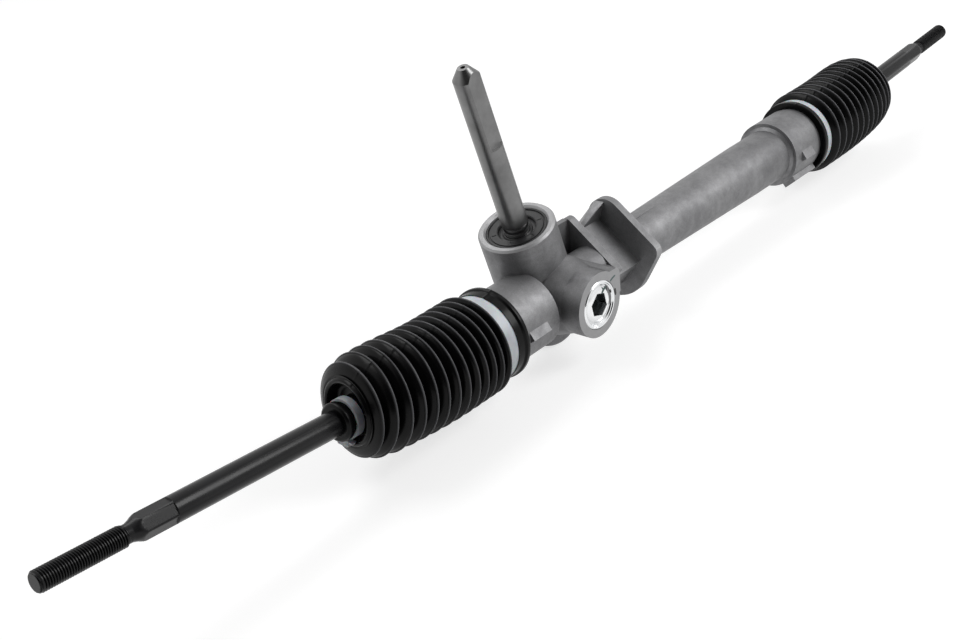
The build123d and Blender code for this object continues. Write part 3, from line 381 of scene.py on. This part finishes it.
def revolved(name, loop, place, slot_name, angles=96, sharp_deg=38.0):
    """Turned piece.  loop is a closed run of (station, radius), place makes a point of a station, a radius
    and an angle, and angles is a list, or how many even ones."""
    if isinstance(angles, int):
        angles = [2 * pi * k / angles for k in range(angles)]
    builder = bmesh.new()
    rings = [[builder.verts.new(place(s, r, a) * MM) for a in angles] for s, r in loop]
    for i, here in enumerate(rings):
        there = rings[(i + 1) % len(rings)]
        for k in range(len(angles)):
            n = (k + 1) % len(angles)
            builder.faces.new((here[k], here[n], there[n], there[k]))
    return finish_mesh(name, builder, slot_name, sharp_deg)


def about_line(origin, direction):
    """Placing function for a piece turned about a straight line, which mustn't run along Y."""
    u = direction.cross(Vector((0, 1, 0))).normalized()
    v = direction.cross(u)

    def place(s, r, a):
        return origin + direction * s + (u * cos(a) + v * sin(a)) * r

    return place


def rounded(corners, radius, steps=4):
    """Run of points with each inner corner of the run rounded, as a turned piece's edges are."""
    points = [corners[0]]
    for before, corner, after in zip(corners, corners[1:], corners[2:]):
        c = Vector(corner)
        back, on = Vector(before) - c, Vector(after) - c
        reach = min(radius, back.length / 2.2, on.length / 2.2)
        start, end = c + back.normalized() * reach, c + on.normalized() * reach
        for k in range(steps + 1):
            t = k / steps
            points.append(tuple(start * (1 - t) ** 2 + c * 2 * t * (1 - t) + end * t**2))
    return points + [corners[-1]]


def hexagon_r(half_width, a):
    """Distance from a hexagon's centre to its outline at angle a."""
    return half_width / cos((a + pi / 6) % (pi / 3) - pi / 6)


def smoothstep(t):
    t = min(max(t, 0.0), 1.0)
    return t * t * (3 - 2 * t)


def inverse_smoothstep(w):
    """The t whose smoothstep is w."""
    return 0.5 - sin(asin(1 - 2 * w) / 3)


# ================================================================ boots, in millimetres
WALL = 1.3
CREST_R, ROOT_R = 32.3, 24.4
BEAD_HEIGHT, BEAD_HALF_WIDTH = 0.8, 0.85       # narrow bead that runs along each crest
BEAD_STEPS = (-0.8, -0.55, -0.25, 0.0, 0.25, 0.55, 0.8)
LOBE_ROUNDNESS = 0.85          # below 1 makes wide crests and narrow roots
LOBE_STEPS = 10                # on each side of a crest's bead
ROOT_SHRINK = 0.55             # of the last crests' shrinking that their roots share
# width of the painted highlight along each crest
CREST_HIGHLIGHT_WIDTH = 0.9
LIP_BORE_R, CUFF_R, LIP_LENGTH = 28.2, 28.8, 3.0
SEAT_BORE_R, BAND_SEAT_R, BAND_R = 24.05, 26.6, 28.1
BAND_START, BAND_GAP = 3.6, 0.6
RIDGE_R, RECESS_R, RECESS_DEPTH = 19.6, 16.8, 6.0
NECK_R, NECK_BORE_R, NECK_LENGTH = 10.1, 7.55, 11.0
NECK_LIP, NECK_LIP_R = 5.0, 11.6               # rolled lip in front of the clip
CLIMB_START, CLIMB_END = 2, 10                 # roots between which the centre line climbs to the rod's
FAN_START = 3                                  # root where the rings begin to lean about the vertical
LIFT = 1.2                                     # the folds hang this much above the rod's line
PARTING_HEIGHT, PARTING_HALF_WIDTH = 0.22, radians(0.8)
PARTING_TURN, PARTING_LEAN = radians(-6.0), radians(-12.0)
PARTINGS = (0.0, pi)
BOOT_ANGLES = marked_angles(96, PARTINGS, PARTING_HALF_WIDTH)
END_FOLD_SHARE = 0.6           # how much of a middle fold's travel the first and the last one take


@dataclass
class Boot:
    """One boot.  Stations run outboard from its lip, in millimetres along the rack."""

    end: str
    side: int                  # -1 towards -X, 1 towards +X
    ball: Vector
    rise: float                # of the rod above the rack's axis, at rest
    lip_x: float
    end_x: float
    lip_r: float
    cuff_length: float
    band_end: float
    folds: int
    stretch_folds: int         # the first ones, between the housing and the rack
    rise_folds: int            # up to here blend is given the ball seat, and then the rod; it only bakes their placement
    growth: float              # of each fold's pitch over the one before
    last_share: float          # of its pitch that the last fold keeps
    end_crest_r: float
    shrink: int                # a higher power keeps the crests wide for longer
    end_lift: float            # how much more the end is lifted
    end_fan: float             # slope by which the end leans about the vertical

    def __post_init__(self):
        self.length = abs(self.end_x - self.lip_x)
        self.along = Vector((self.side * cos(self.rise), 0, sin(self.rise)))
        pitches = [self.growth**k for k in range(self.folds)]
        pitches[-1] *= self.last_share
        first_root = self.band_end + BAND_GAP
        unit = (self.length - self.band_end - BAND_GAP) / sum(pitches)
        self.roots = [first_root + unit * sum(pitches[:k]) for k in range(self.folds + 1)]

    def twist(self, s):
        """The mould's parting line leans forwards, more towards the small end."""
        return PARTING_TURN + PARTING_LEAN * s / self.length

    def x(self, s):
        return self.lip_x + self.side * s

    def rod_z(self, s):
        return self.side * (self.x(s) - self.ball.x) * tan(self.rise)

    def past_root(self, k, s):
        """Smooth share of the way from root k to the boot's end."""
        return smoothstep((s - self.roots[k]) / (self.length - self.roots[k]))

    def centre_z(self, s):
        """The boot's centre line leaves the rack's axis and comes to lie a little above the rod's."""
        climb = (s - self.roots[CLIMB_START]) / (self.roots[CLIMB_END] - self.roots[CLIMB_START])
        lift = LIFT + self.end_lift * self.past_root(self.stretch_folds, s)
        return smoothstep(climb) * max(self.rod_z(s) + lift, 0.0)

    def place(self, s, r, a):
        """Point of the boot: its rings follow the bent centre line, and the last ones fan out to one side."""
        slope = self.centre_z(s + 0.5) - self.centre_z(s - 0.5)
        c, t = 1 / sqrt(1 + slope**2), slope / sqrt(1 + slope**2)
        if near_mark(a, PARTINGS, PARTING_HALF_WIDTH):
            r += PARTING_HEIGHT
        a += self.twist(s)
        up, out = r * cos(a), r * sin(a)
        back = up * t + out * self.end_fan * self.past_root(FAN_START, s)
        return Vector((self.x(s) - self.side * back, out, self.centre_z(s) + up * c))

    def place_recess(self, s, r, a):
        """Point of the recess, which leads from the folds' centre line to the rod's line."""
        share = min(max((r - NECK_R) / (RECESS_R - NECK_R), 0.0), 1.0)
        drop = (share - 1) * (self.centre_z(s) - self.rod_z(s))
        return self.place(s, r, a) + Vector((0, 0, drop))

    def crest_r(self, k):
        return CREST_R - (CREST_R - self.end_crest_r) * (k / (self.folds - 1)) ** self.shrink

    def root_r(self, k):
        """Radius of root k; the last ones shrink with the crests."""
        return ROOT_R if k < self.folds - 2 else ROOT_R - ROOT_SHRINK * (CREST_R - self.crest_r(k))

    def fold_loop(self, k):
        """Section of one fold, from root to root, with its wall."""
        start, end = self.roots[k], self.roots[k + 1]
        middle = (start + end) / 2
        lobe = middle - BEAD_HALF_WIDTH - start
        flank = [start + lobe * sin(pi / 2 * i / LOBE_STEPS) for i in range(LOBE_STEPS + 1)]
        bead = [middle + BEAD_HALF_WIDTH * q for q in BEAD_STEPS]
        outer = []
        for s in flank + bead + [2 * middle - f for f in reversed(flank)]:
            t = (s - start) / (end - start)
            foot = self.root_r(k) * (1 - t) + self.root_r(k + 1) * t
            crest = self.crest_r(k) - BEAD_HEIGHT
            q = min(abs(s - middle) / BEAD_HALF_WIDTH, 1.0)
            rise = BEAD_HEIGHT * sqrt(1 - q**2)
            outer.append((s, foot + (crest - foot) * max(sin(pi * t), 0.0) ** LOBE_ROUNDNESS + rise))
        inner = [(s, r - WALL) for s, r in outer[::2]]
        return outer + inner[::-1]

    def hub(self, s):
        """Point on the rod's line at station s."""
        return Vector((self.x(s), 0, self.rod_z(s)))

    def blend(self, piece, a, b, s_from, s_to):
        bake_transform(piece)


def paint_crest_highlight(fold, ridge_r, centre_z):
    """Marks the vertices near the ridge, where the rubber gets a painted highlight."""
    crest_highlight = fold.data.attributes.new("crest_highlight", "FLOAT", "POINT")
    for vertex in fold.data.vertices:
        x, y, z = vertex.co / MM
        r = sqrt(y * y + (z - centre_z) ** 2)
        crest_highlight.data[vertex.index].value = smoothstep((r - ridge_r + CREST_HIGHLIGHT_WIDTH) / CREST_HIGHLIGHT_WIDTH)


def rubber(boot, part, loop, place):
    """Turned rubber piece of a boot, with the mould's parting line."""
    return revolved(f"{boot.end}_boot_{part}", loop, place, "boot_rubber", BOOT_ANGLES)


def build_collar(boot):
    """Stiff end of the boot that is pulled over the housing, with a lip and a seat for the band."""
    loop = [
        (0.0, SEAT_BORE_R + 1.0), (0.0, boot.lip_r), (LIP_LENGTH, boot.lip_r), (LIP_LENGTH + 0.9, CUFF_R),
        (boot.cuff_length, CUFF_R - 0.2), (boot.cuff_length, LIP_BORE_R),
        (BAND_START - 0.1, LIP_BORE_R), (BAND_START - 0.1, BAND_SEAT_R), (boot.roots[0], BAND_SEAT_R),
        (boot.roots[0], SEAT_BORE_R), (0.0, SEAT_BORE_R),
    ]
    collar = rubber(boot, "collar", rounded(loop, 0.9), boot.place)
    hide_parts(f"{boot.end}_boot")
    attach(collar, "housing")


def build_large_band(boot):
    loop = [
        (BAND_START, BAND_SEAT_R + 0.8), (BAND_START, BAND_R), (boot.band_end, BAND_R),
        (boot.band_end, BAND_SEAT_R), (BAND_START, BAND_SEAT_R), (BAND_START, BAND_SEAT_R + 0.4),
    ]
    band = revolved(f"{boot.end}_large_band", rounded(loop, 0.4), boot.place, "natural_nylon")
    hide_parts(f"{boot.end}_boot_band")
    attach(band, "housing")


def build_fold(boot, k):
    fold = rubber(boot, f"fold_{k + 1:02d}", boot.fold_loop(k), boot.place)
    paint_crest_highlight(fold, boot.crest_r(k), boot.centre_z((boot.roots[k] + boot.roots[k + 1]) / 2))
    return fold


def build_stretching_folds(boot):
    """Folds between the housing and the rack, each built and baked where it stands; the stretch of one smooth
    blend worked out for each is not used.
    """
    shares = [END_FOLD_SHARE] + [1.0] * (boot.stretch_folds - 2) + [END_FOLD_SHARE]
    for k in range(boot.stretch_folds):
        w_from, w_to = sum(shares[:k]) / sum(shares), sum(shares[: k + 1]) / sum(shares)
        t_from, t_to = inverse_smoothstep(w_from), inverse_smoothstep(w_to)
        rate = (t_to - t_from) / (boot.roots[k + 1] - boot.roots[k])
        start = Vector((boot.x(boot.roots[k] - t_from / rate), 0, 0)) * MM
        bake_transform(build_fold(boot, k))


def build_turning_folds(boot):
    """Folds after those, handed to blend with the ball seat and then, for the last ones, with the rod; blend
    only bakes their placement.
    """
    rod, seat = f"{boot.end}_tie_rod", f"{boot.end}_ball_seat"
    rise_start, swing_start = boot.roots[boot.stretch_folds], boot.roots[boot.rise_folds]
    for k in range(boot.stretch_folds, boot.folds):
        fold = build_fold(boot, k)
        if k < boot.rise_folds:
            boot.blend(fold, "rack", seat, rise_start, swing_start)
        else:
            boot.blend(fold, seat, rod, swing_start, boot.length)


def build_end_face(boot):
    """End face with the ridge round its recess."""
    last, root_r = boot.length, boot.root_r(boot.folds)
    corners = [
        (last, root_r), (last + 0.4, RIDGE_R + 2.6), (last - 0.4, RIDGE_R + 1.2),
        (last + 1.8, RIDGE_R - 0.2), (last + 1.5, RECESS_R + 0.6), (last - 1.0, RECESS_R),
    ]
    outer = rounded(corners, 1.6)
    inner = [(s - WALL, r) for s, r in outer[1:-1]]
    loop = outer + [(last - 1.0, RECESS_R + WALL)] + inner[::-1] + [(last, root_r - WALL)]
    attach(rubber(boot, "face", loop, boot.place), f"{boot.end}_tie_rod")


def build_recess(boot):
    last = boot.length
    floor = last - RECESS_DEPTH
    loop = [
        (last - 1.0, RECESS_R), (floor + 1.5, RECESS_R - 0.8), (floor, RECESS_R - 2.2),
        (floor, NECK_R + 0.2), (floor - WALL, NECK_R + 0.2), (floor - WALL, RECESS_R - 1.0),
        (floor + 1.5, RECESS_R + 0.5), (last - 1.0, RECESS_R + WALL),
    ]
    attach(rubber(boot, "recess", rounded(loop, 1.0), boot.place_recess), f"{boot.end}_tie_rod")


def build_neck(boot):
    """Neck on the rod, with stations from the recess's floor."""
    neck_end = NECK_LENGTH + RECESS_DEPTH
    lip = neck_end - NECK_LIP
    loop = [
        (-WALL, NECK_BORE_R), (-WALL, NECK_R + 0.6), (WALL, NECK_R + 0.6), (2 * WALL, NECK_R - 0.3),
        (lip, NECK_R - 0.3), (lip, NECK_LIP_R), (neck_end - 1.2, NECK_LIP_R),
        (neck_end, NECK_R), (neck_end, NECK_BORE_R),
    ]
    line = about_line(boot.hub(boot.length - RECESS_DEPTH), boot.along)
    neck = revolved(f"{boot.end}_boot_neck", rounded(loop, 0.6), line, "boot_rubber", 64)
    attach(neck, f"{boot.end}_tie_rod")


def build_boot(boot):
    build_collar(boot)
    build_large_band(boot)
    build_stretching_folds(boot)
    build_turning_folds(boot)
    build_end_face(boot)
    build_recess(boot)
    build_neck(boot)


near_boot = Boot(
    end="near", side=-1, ball=NEAR_BALL, rise=NEAR_RISE, lip_x=-116.0, end_x=-241.9,
    lip_r=30.0, cuff_length=9.4, band_end=17.4,
    folds=13, stretch_folds=10, rise_folds=12, growth=1.045, last_share=0.61,
    end_crest_r=28.0, shrink=12, end_lift=1.5, end_fan=0.12,
)
far_boot = Boot(
    end="far", side=1, ball=FAR_BALL, rise=FAR_RISE, lip_x=248.0, end_x=357.5,
    lip_r=28.8, cuff_length=4.2, band_end=10.4,
    folds=12, stretch_folds=9, rise_folds=11, growth=0.955, last_share=1.0,
    end_crest_r=28.8, shrink=7, end_lift=0.0, end_fan=0.0,
)
build_boot(near_boot)
build_boot(far_boot)


# ================================================================ tie rods, in millimetres
BALL_R, STUD_R, ROD_R = 10.0, 5.5, 7.5
BALL_STEPS = 24
STUD_END, TAPER_END = 13.0, 21.0
HEX_HALF, HEX_LENGTH, CONE_LENGTH = 6.5, 19.0, 7.0
THREAD_R, THREAD_ROOT_R, THREAD_PITCH = 6.0, 5.08, 1.5
THREAD_PROFILE = ((0.0, 0.0), (0.12, 0.0), (0.44, 1.0), (0.62, 1.0))     # share of the pitch, of the height
RELIEF_LENGTH, TIP_CHAMFER = 1.8, 1.2
TURN_STEPS = 48


def build_rod_body(end, line, length, thread_start):
    """Ball, stud, round bar, milled hexagon, cone and the core of the thread."""
    hex_end = thread_start - CONE_LENGTH
    hex_start = hex_end - HEX_LENGTH

    def place(s, r, a):
        """The spanner hexagon and its cone have flats; the rest is round."""
        if hex_start < s < thread_start - 0.5:
            r = min(r, hexagon_r(HEX_HALF, a))
        return line(s, r, a)

    ball = [
        (-BALL_R * cos(a), BALL_R * sin(a))
        for a in (pi * k / BALL_STEPS for k in range(1, BALL_STEPS))
        if BALL_R * sin(a) > STUD_R or a < pi / 2
    ]
    loop = [(-BALL_R, 0.0)] + ball + [
        (STUD_END, STUD_R), (TAPER_END, ROD_R), (hex_start, ROD_R), (hex_start + 0.5, ROD_R),
        (hex_end, ROD_R), (hex_end + 1.4, ROD_R - 0.3), (hex_end + 2.6, ROD_R - 0.8),
        (hex_end + 4.0, ROD_R - 1.5), (thread_start - 0.6, THREAD_ROOT_R + 0.2),
        (thread_start, THREAD_ROOT_R), (length - TIP_CHAMFER, THREAD_ROOT_R),
        (length - 0.3, THREAD_ROOT_R - 0.1), (length, THREAD_ROOT_R - 0.4), (length, 0.0),
    ]
    body = revolved(f"{end}_rod_body", loop, place, "black_rod_steel", 96, 30.0)
    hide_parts(f"{end}_tie_rod")
    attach(body, f"{end}_tie_rod")


def build_rod_thread(end, line, length, thread_start):
    """Rolled thread: one helical strip whose edges meet from turn to turn."""
    builder = bmesh.new()
    helix_start = thread_start + RELIEF_LENGTH
    steps = int((length - helix_start) / THREAD_PITCH * TURN_STEPS)
    rows = []
    for i in range(steps + 1):
        run_out = min(1.0, i / TURN_STEPS)
        row = []
        for share, height in THREAD_PROFILE:
            s = helix_start + THREAD_PITCH * i / TURN_STEPS + share * THREAD_PITCH
            crest = min(THREAD_R, THREAD_ROOT_R + max(length - 0.3 - s, 0.0))
            r = THREAD_ROOT_R + (crest - THREAD_ROOT_R) * height * run_out
            row.append(builder.verts.new(line(min(s, length - 0.2), r, 2 * pi * i / TURN_STEPS) * MM))
        rows.append(row)
    for i, (here, there) in enumerate(zip(rows, rows[1:])):
        for j in range(len(THREAD_PROFILE) - 1):
            builder.faces.new((here[j], here[j + 1], there[j + 1], there[j]))
        if i + 1 + TURN_STEPS <= steps:
            builder.faces.new((here[-1], rows[i + TURN_STEPS][0], rows[i + 1 + TURN_STEPS][0], there[-1]))
    thread = finish_mesh(f"{end}_rod_thread", builder, "black_rod_steel", 25.0)
    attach(thread, f"{end}_tie_rod")


def build_tie_rod(end, ball, along, length, thread_length):
    line = about_line(ball, along)
    build_rod_body(end, line, length, length - thread_length)
    build_rod_thread(end, line, length, length - thread_length)


build_tie_rod("near", NEAR_BALL, NEAR_ALONG, length=271.5, thread_length=54.5)
build_tie_rod("far", FAR_BALL, FAR_ALONG, length=199.0, thread_length=46.0)


# ================================================================ seal and plug, in millimetres
SEAL_FOOT, SEAL_HEAD, SEAL_OUTER_R, SEAL_BORE_R = 45.0, 50.3, 19.85, 8.3
SEAL_SLOTS = [radians(20 + 60 * k) for k in range(6)]
SLOT_HALF_WIDTH, SLOT_DEPTH, SLOT_INNER_R, SLOT_OUTER_R = radians(1.6), 0.5, 13.4, 16.4


def build_seal():
    """Input shaft's seal: a ring with six short slots, a trough and a lip on the shaft."""
    along_shaft = about_line(PINION_FOOT, PINION_DIR)

    def place(s, r, a):
        in_slot = SLOT_INNER_R < r < SLOT_OUTER_R and s > SEAL_FOOT + 1
        if in_slot and near_mark(a, SEAL_SLOTS, SLOT_HALF_WIDTH):
            s -= SLOT_DEPTH
        return along_shaft(s, r, a)

    top = SEAL_HEAD
    loop = [
        (SEAL_FOOT, SEAL_BORE_R), (SEAL_FOOT, SEAL_OUTER_R), (top - 0.3, SEAL_OUTER_R),
        (top, SEAL_OUTER_R - 0.4), (top, 18.6), (top - 0.9, 18.2), (top - 0.9, 17.5),
        (top - 0.25, 17.2), (top - 0.2, 16.45), (top - 0.2, 16.3), (top - 0.2, 15.0),
        (top - 0.2, 13.5), (top - 0.2, 13.3), (top - 0.1, 12.9), (top - 0.6, 12.3),
        (top - 2.4, 11.9), (top - 2.9, 11.2), (top - 2.9, 9.9), (top - 2.2, 9.2), (top - 2.2, 8.6),
        (top - 2.8, SEAL_BORE_R),
    ]
    angles = marked_angles(72, SEAL_SLOTS, SLOT_HALF_WIDTH)
    seal = revolved("shaft_seal", loop, place, "seal_rubber", angles, 30.0)
    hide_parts("pinion_seal")
    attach(seal, "housing")


PLUG_R, PLUG_INNER_Y = 15.95, -24.4
HEX_SOCKET_HALF, HEX_SOCKET_DEPTH, HEX_SOCKET_TURN = 7.0, 8.0, radians(12.0)
HEX_SOCKET_CHAMFER, PLUG_FLOOR = 0.4, 3.0


def plug_place(s, r, a):
    """Turned about the yoke's axis, with s along +Y.  A negative r is half the width of the hexagon."""
    if r < 0:
        r = hexagon_r(-r, a - HEX_SOCKET_TURN)
    return Vector((PINION_X + r * cos(a), s, r * sin(a)))


def build_plug():
    """Adjusting plug: rim, groove, stamped rings and a hexagon socket."""
    face = PLUG_OUTER_Y
    socket_end = face + HEX_SOCKET_DEPTH
    loop = [
        (PLUG_INNER_Y, PLUG_R - 0.5), (socket_end + PLUG_FLOOR, 3.0), (socket_end + PLUG_FLOOR, 0.0),
        (socket_end + 1.5, 0.0), (socket_end, -HEX_SOCKET_HALF), (face + 0.9, -HEX_SOCKET_HALF),
        (face + 0.5, -HEX_SOCKET_HALF - HEX_SOCKET_CHAMFER), (face + 0.5, 9.4), (face + 0.6, 9.9),
        (face + 1.5, 11.2), (face + 1.9, 12.2), (face + 1.8, 12.9), (face + 0.9, 13.5),
        (face + 0.8, 14.1), (face + 0.1, 14.5), (face, 14.8), (face, 15.2), (face + 0.7, PLUG_R),
        (PLUG_INNER_Y, PLUG_R),
    ]
    plug = revolved("adjusting_plug", loop, plug_place, "zinc_plate", 120, 28.0)
    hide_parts("yoke_plug")
    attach(plug, "housing")


# ================================================================ web and paint marks, in millimetres
WEB_ROOT, WEB_WALL = (-45.3, 19.8), (-14.8, 6.6)     # the web's top, (x, z), from the yoke boss to the wall
WEB_FOOT = -5.0
WEB_STATIONS = ((13.0, 1.0), (-20.0, 1.0), (-27.0, 0.74), (-35.2, 0.46))     # y, share of the full width
WEB_BEVEL = 0.8


def skin(builder, rings):
    """Faces between neighbouring rings of four vertices, and over both ends."""
    for here, there in zip(rings, rings[1:]):
        for k in range(4):
            builder.faces.new((here[k], here[(k + 1) % 4], there[(k + 1) % 4], there[k]))
    builder.faces.new(rings[0])
    builder.faces.new(rings[-1])


def build_boss_web():
    """Cast web between the yoke boss and the near wall, which narrows towards the boss's face."""
    builder = bmesh.new()
    rings = []
    for y, share in WEB_STATIONS:
        x = WEB_ROOT[0] + (WEB_WALL[0] - WEB_ROOT[0]) * share
        z = WEB_ROOT[1] + (WEB_WALL[1] - WEB_ROOT[1]) * share
        corners = (WEB_ROOT, (x, z), (x, WEB_FOOT), (WEB_ROOT[0], WEB_FOOT))
        rings.append([builder.verts.new(Vector((cx, y, cz)) * MM) for cx, cz in corners])
    skin(builder, rings)
    bmesh.ops.bevel(builder, geom=builder.edges[:], offset=WEB_BEVEL * MM, segments=2, affect="EDGES")
    web = finish_mesh("boss_web", builder, "cast_aluminium", 30.0)
    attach(web, "housing")


STROKE_HEIGHT, STROKE_TAPER, STROKE_BOW, STROKE_STEPS = 0.06, 0.55, 0.35, 6
STROKE_SECTION = ((-1, -0.5), (-0.7, 1.0), (0.7, 1.0), (1, -0.5))     # shares of half width and of height


def paint_stroke(name, start, end, width, material):
    """Thin smear of marking paint along a slight bow across the plug or the boss's face."""
    bow = Vector((0, 0, STROKE_BOW))
    steps = range(STROKE_STEPS + 1)
    points = [start.lerp(end, k / STROKE_STEPS) + bow * sin(pi * k / STROKE_STEPS) for k in steps]
    out = Vector((0, -STROKE_HEIGHT, 0))
    builder = bmesh.new()
    rows = []
    for i, point in enumerate(points):
        ahead = points[min(i + 1, STROKE_STEPS)] - points[max(i - 1, 0)]
        side = Vector((ahead.z, 0, -ahead.x)).normalized()
        half = width / 2 * (STROKE_TAPER if i in (0, STROKE_STEPS) else 1.0)
        rows.append([builder.verts.new((point + side * half * q + out * h) * MM) for q, h in STROKE_SECTION])
    skin(builder, rows)
    stroke = finish_mesh(name, builder, "zinc_plate", 30.0)
    stroke.data.materials[0] = material
    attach(stroke, "housing")


def build_paint_marks():
    """Green check mark across the plug and its boss, and two dark stake marks on the plug's edge."""
    green = plastic("check_paint", (0.035, 0.075, 0.072), (0.060, 0.110, 0.105), 0.42)
    dark = plastic("stake_mark", (0.006, 0.006, 0.006), (0.015, 0.015, 0.015), 0.5)
    ring, groove, boss = PLUG_OUTER_Y + 0.46, PLUG_OUTER_Y + 0.9, BOSS_FACE_Y
    for name, material, width, start, end in (
        ("check_paint_plug", green, 2.0, (-51.2, ring, 6.6), (-46.6, ring, 9.8)),
        ("check_paint_boss", green, 1.5, (-41.9, boss, 11.2), (-36.2, boss, 13.0)),
        ("stake_mark_plug", dark, 1.6, (-41.4, groove, 5.4), (-40.9, groove, 2.9)),
        ("stake_mark_boss", dark, 2.4, (-37.6, boss, 4.4), (-36.9, boss, -0.4)),
    ):
        paint_stroke(name, Vector(start), Vector(end), width, material)


# ================================================================ heads of the small clips, in millimetres
TIE_HEAD_TURN, TIE_HEAD_R, TIE_HEAD_SHIFT = radians(176.0), 14.0, 2.4
TIE_HEAD_SIZE = Vector((5.6, 8.6, 5.4))       # along the rod, round it and out from it
TIE_HEAD_BEVEL = 0.12                         # this and the strap are shares of the head's size
STRAP_SIZE, STRAP_SHIFT = Vector((0.7, 0.5, 0.22)), Vector((0.0, 0.62, -0.12))


def build_tie_head(boot):
    """Locking head of the small clip, a cable tie, with the end of its strap standing out of it."""
    low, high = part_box(f"{boot.end}_boot_clip")
    centre = (Vector(low) + Vector(high)) / 2 / MM
    builder = bmesh.new()
    bmesh.ops.create_cube(builder, size=1.0)
    bmesh.ops.bevel(builder, geom=builder.edges[:], offset=TIE_HEAD_BEVEL, segments=3, affect="EDGES")
    for v in bmesh.ops.create_cube(builder, size=1.0)["verts"]:
        v.co = v.co * STRAP_SIZE + STRAP_SHIFT
    out = Vector((0, sin(TIE_HEAD_TURN), cos(TIE_HEAD_TURN)))
    round_it = boot.along.cross(out)
    for v in builder.verts:
        q = v.co * TIE_HEAD_SIZE
        v.co = (centre + boot.along * (q.x + TIE_HEAD_SHIFT) + round_it * q.y + out * (TIE_HEAD_R + q.z)) * MM
    head = finish_mesh(f"{boot.end}_tie_head", builder, "natural_nylon", 40.0)
    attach(head, f"{boot.end}_tie_rod")


build_seal()
build_plug()
build_boss_web()
build_paint_marks()
build_tie_head(near_boot)
build_tie_head(far_boot)


# ================================================================ camera, fitted to the photograph
PICTURE_WIDTH, FOCAL_LENGTH = 960, 1523.0774     # both in pixels
SENSOR_WIDTH = 36.0
FIT_TURN = Vector((1.8464889, -0.9311840, 0.4472916))       # turn from the object's axes to the camera's
FIT_SHIFT = Vector((46.555895, -17.064, 970.948695))        # millimetres, in the camera's axes
FIT_ORIGIN = Vector((-55, 0, 0))                            # where the fit's origin lies in the CAD's frame


def build_camera():
    turn = Matrix.Rotation(FIT_TURN.length, 3, FIT_TURN.normalized())
    data = bpy.data.cameras.new("camera")
    data.sensor_width = SENSOR_WIDTH
    data.lens = FOCAL_LENGTH / PICTURE_WIDTH * SENSOR_WIDTH
    data.clip_start, data.clip_end = 0.05, 50
    camera = bpy.data.objects.new("camera", data)
    scene.collection.objects.link(camera)
    scene.camera = camera
    # the fit's camera looks along its own +Z with +Y down, and Blender's along -Z with +Y up
    placed = Matrix((turn[0], -turn[1], -turn[2])).transposed().to_4x4()
    placed.translation = (FIT_ORIGIN - turn.transposed() @ FIT_SHIFT) * MM
    camera.matrix_world = placed


# ================================================================ floor and light, in metres
RAYS_THAT_SEE = ("Is Camera Ray", "Is Glossy Ray", "Is Transmission Ray")
AMBIENT = 0.30                                  # of the white surroundings, for rays that only light
DIM_SIDE = Vector((-0.66, -0.60, 0.42)).normalized()     # dark part of the studio
DIM_CORE, DIM_EDGE, DIM_LEVEL = radians(26), radians(62), 0.04
FLOOR_SIZE, FLOOR_DROP, FLOOR_GREY = 30, 0.0002, 0.50
FLOOR_GLOW = 0.68                               # makes the lit floor white and keeps the shadow faint
LAMP_TARGET = Vector((0.05, 0, 0))


def seeing_rays(tree):
    """1 for a ray by which a surface or the background is seen, 0 for one that only brings light."""
    path = node(tree, "ShaderNodeLightPath")
    return largest(tree, [path.outputs[kind] for kind in RAYS_THAT_SEE])


def build_world():
    """White surroundings with one dark zone, which gives the dark rubber and steel their contrast."""
    world = bpy.data.worlds.new("world")
    scene.world = world
    world.use_nodes = True
    tree = world.node_tree
    background = tree.nodes["Background"]
    background.inputs["Color"].default_value = (1, 1, 1, 1)
    towards = node(tree, "ShaderNodeVectorMath", operation="DOT_PRODUCT")
    towards.inputs[1].default_value = DIM_SIDE
    tree.links.new(node(tree, "ShaderNodeTexCoord").outputs["Generated"], towards.inputs[0])
    dimmed = map_range(tree, towards.outputs["Value"], cos(DIM_EDGE), cos(DIM_CORE), 1.0, DIM_LEVEL)
    level = node(tree, "ShaderNodeMath", operation="MULTIPLY")
    tree.links.new(map_range(tree, seeing_rays(tree), 0, 1, AMBIENT, 1.0), level.inputs[0])
    tree.links.new(dimmed, level.inputs[1])
    tree.links.new(level.outputs[0], background.inputs["Strength"])


def build_floor():
    bpy.ops.mesh.primitive_plane_add(size=FLOOR_SIZE, location=(0, 0, box_low.z - FLOOR_DROP))
    floor = bpy.context.object
    floor.name = "floor"
    material, tree, shader = new_material("floor_white")
    shader.inputs["Base Color"].default_value = (FLOOR_GREY, FLOOR_GREY, FLOOR_GREY, 1)
    shader.inputs["Roughness"].default_value = 0.9
    shader.inputs["Specular IOR Level"].default_value = 0.0
    shader.inputs["Emission Color"].default_value = (1, 1, 1, 1)
    glow = map_range(tree, seeing_rays(tree), 0, 1, 0.0, FLOOR_GLOW)
    tree.links.new(glow, shader.inputs["Emission Strength"])
    floor.data.materials.append(material)


def area_light(name, location, size, power):
    """Lamp of size (width, height) that shines on the middle of the object."""
    data = bpy.data.lights.new(name, "AREA")
    data.shape = "RECTANGLE"
    data.size, data.size_y = size
    data.energy = power
    lamp = bpy.data.objects.new(name, data)
    scene.collection.objects.link(lamp)
    lamp.location = location
    lamp.rotation_mode = "QUATERNION"
    lamp.rotation_quaternion = (LAMP_TARGET - Vector(location)).to_track_quat("-Z", "Y")


scene.view_settings.view_transform = "Standard"
build_camera()
build_world()
build_floor()
area_light("key", (0.9, -1.4, 1.3), (1.1, 1.1), 24)
area_light("back", (-0.3, 0.9, 1.5), (1.8, 0.7), 13)
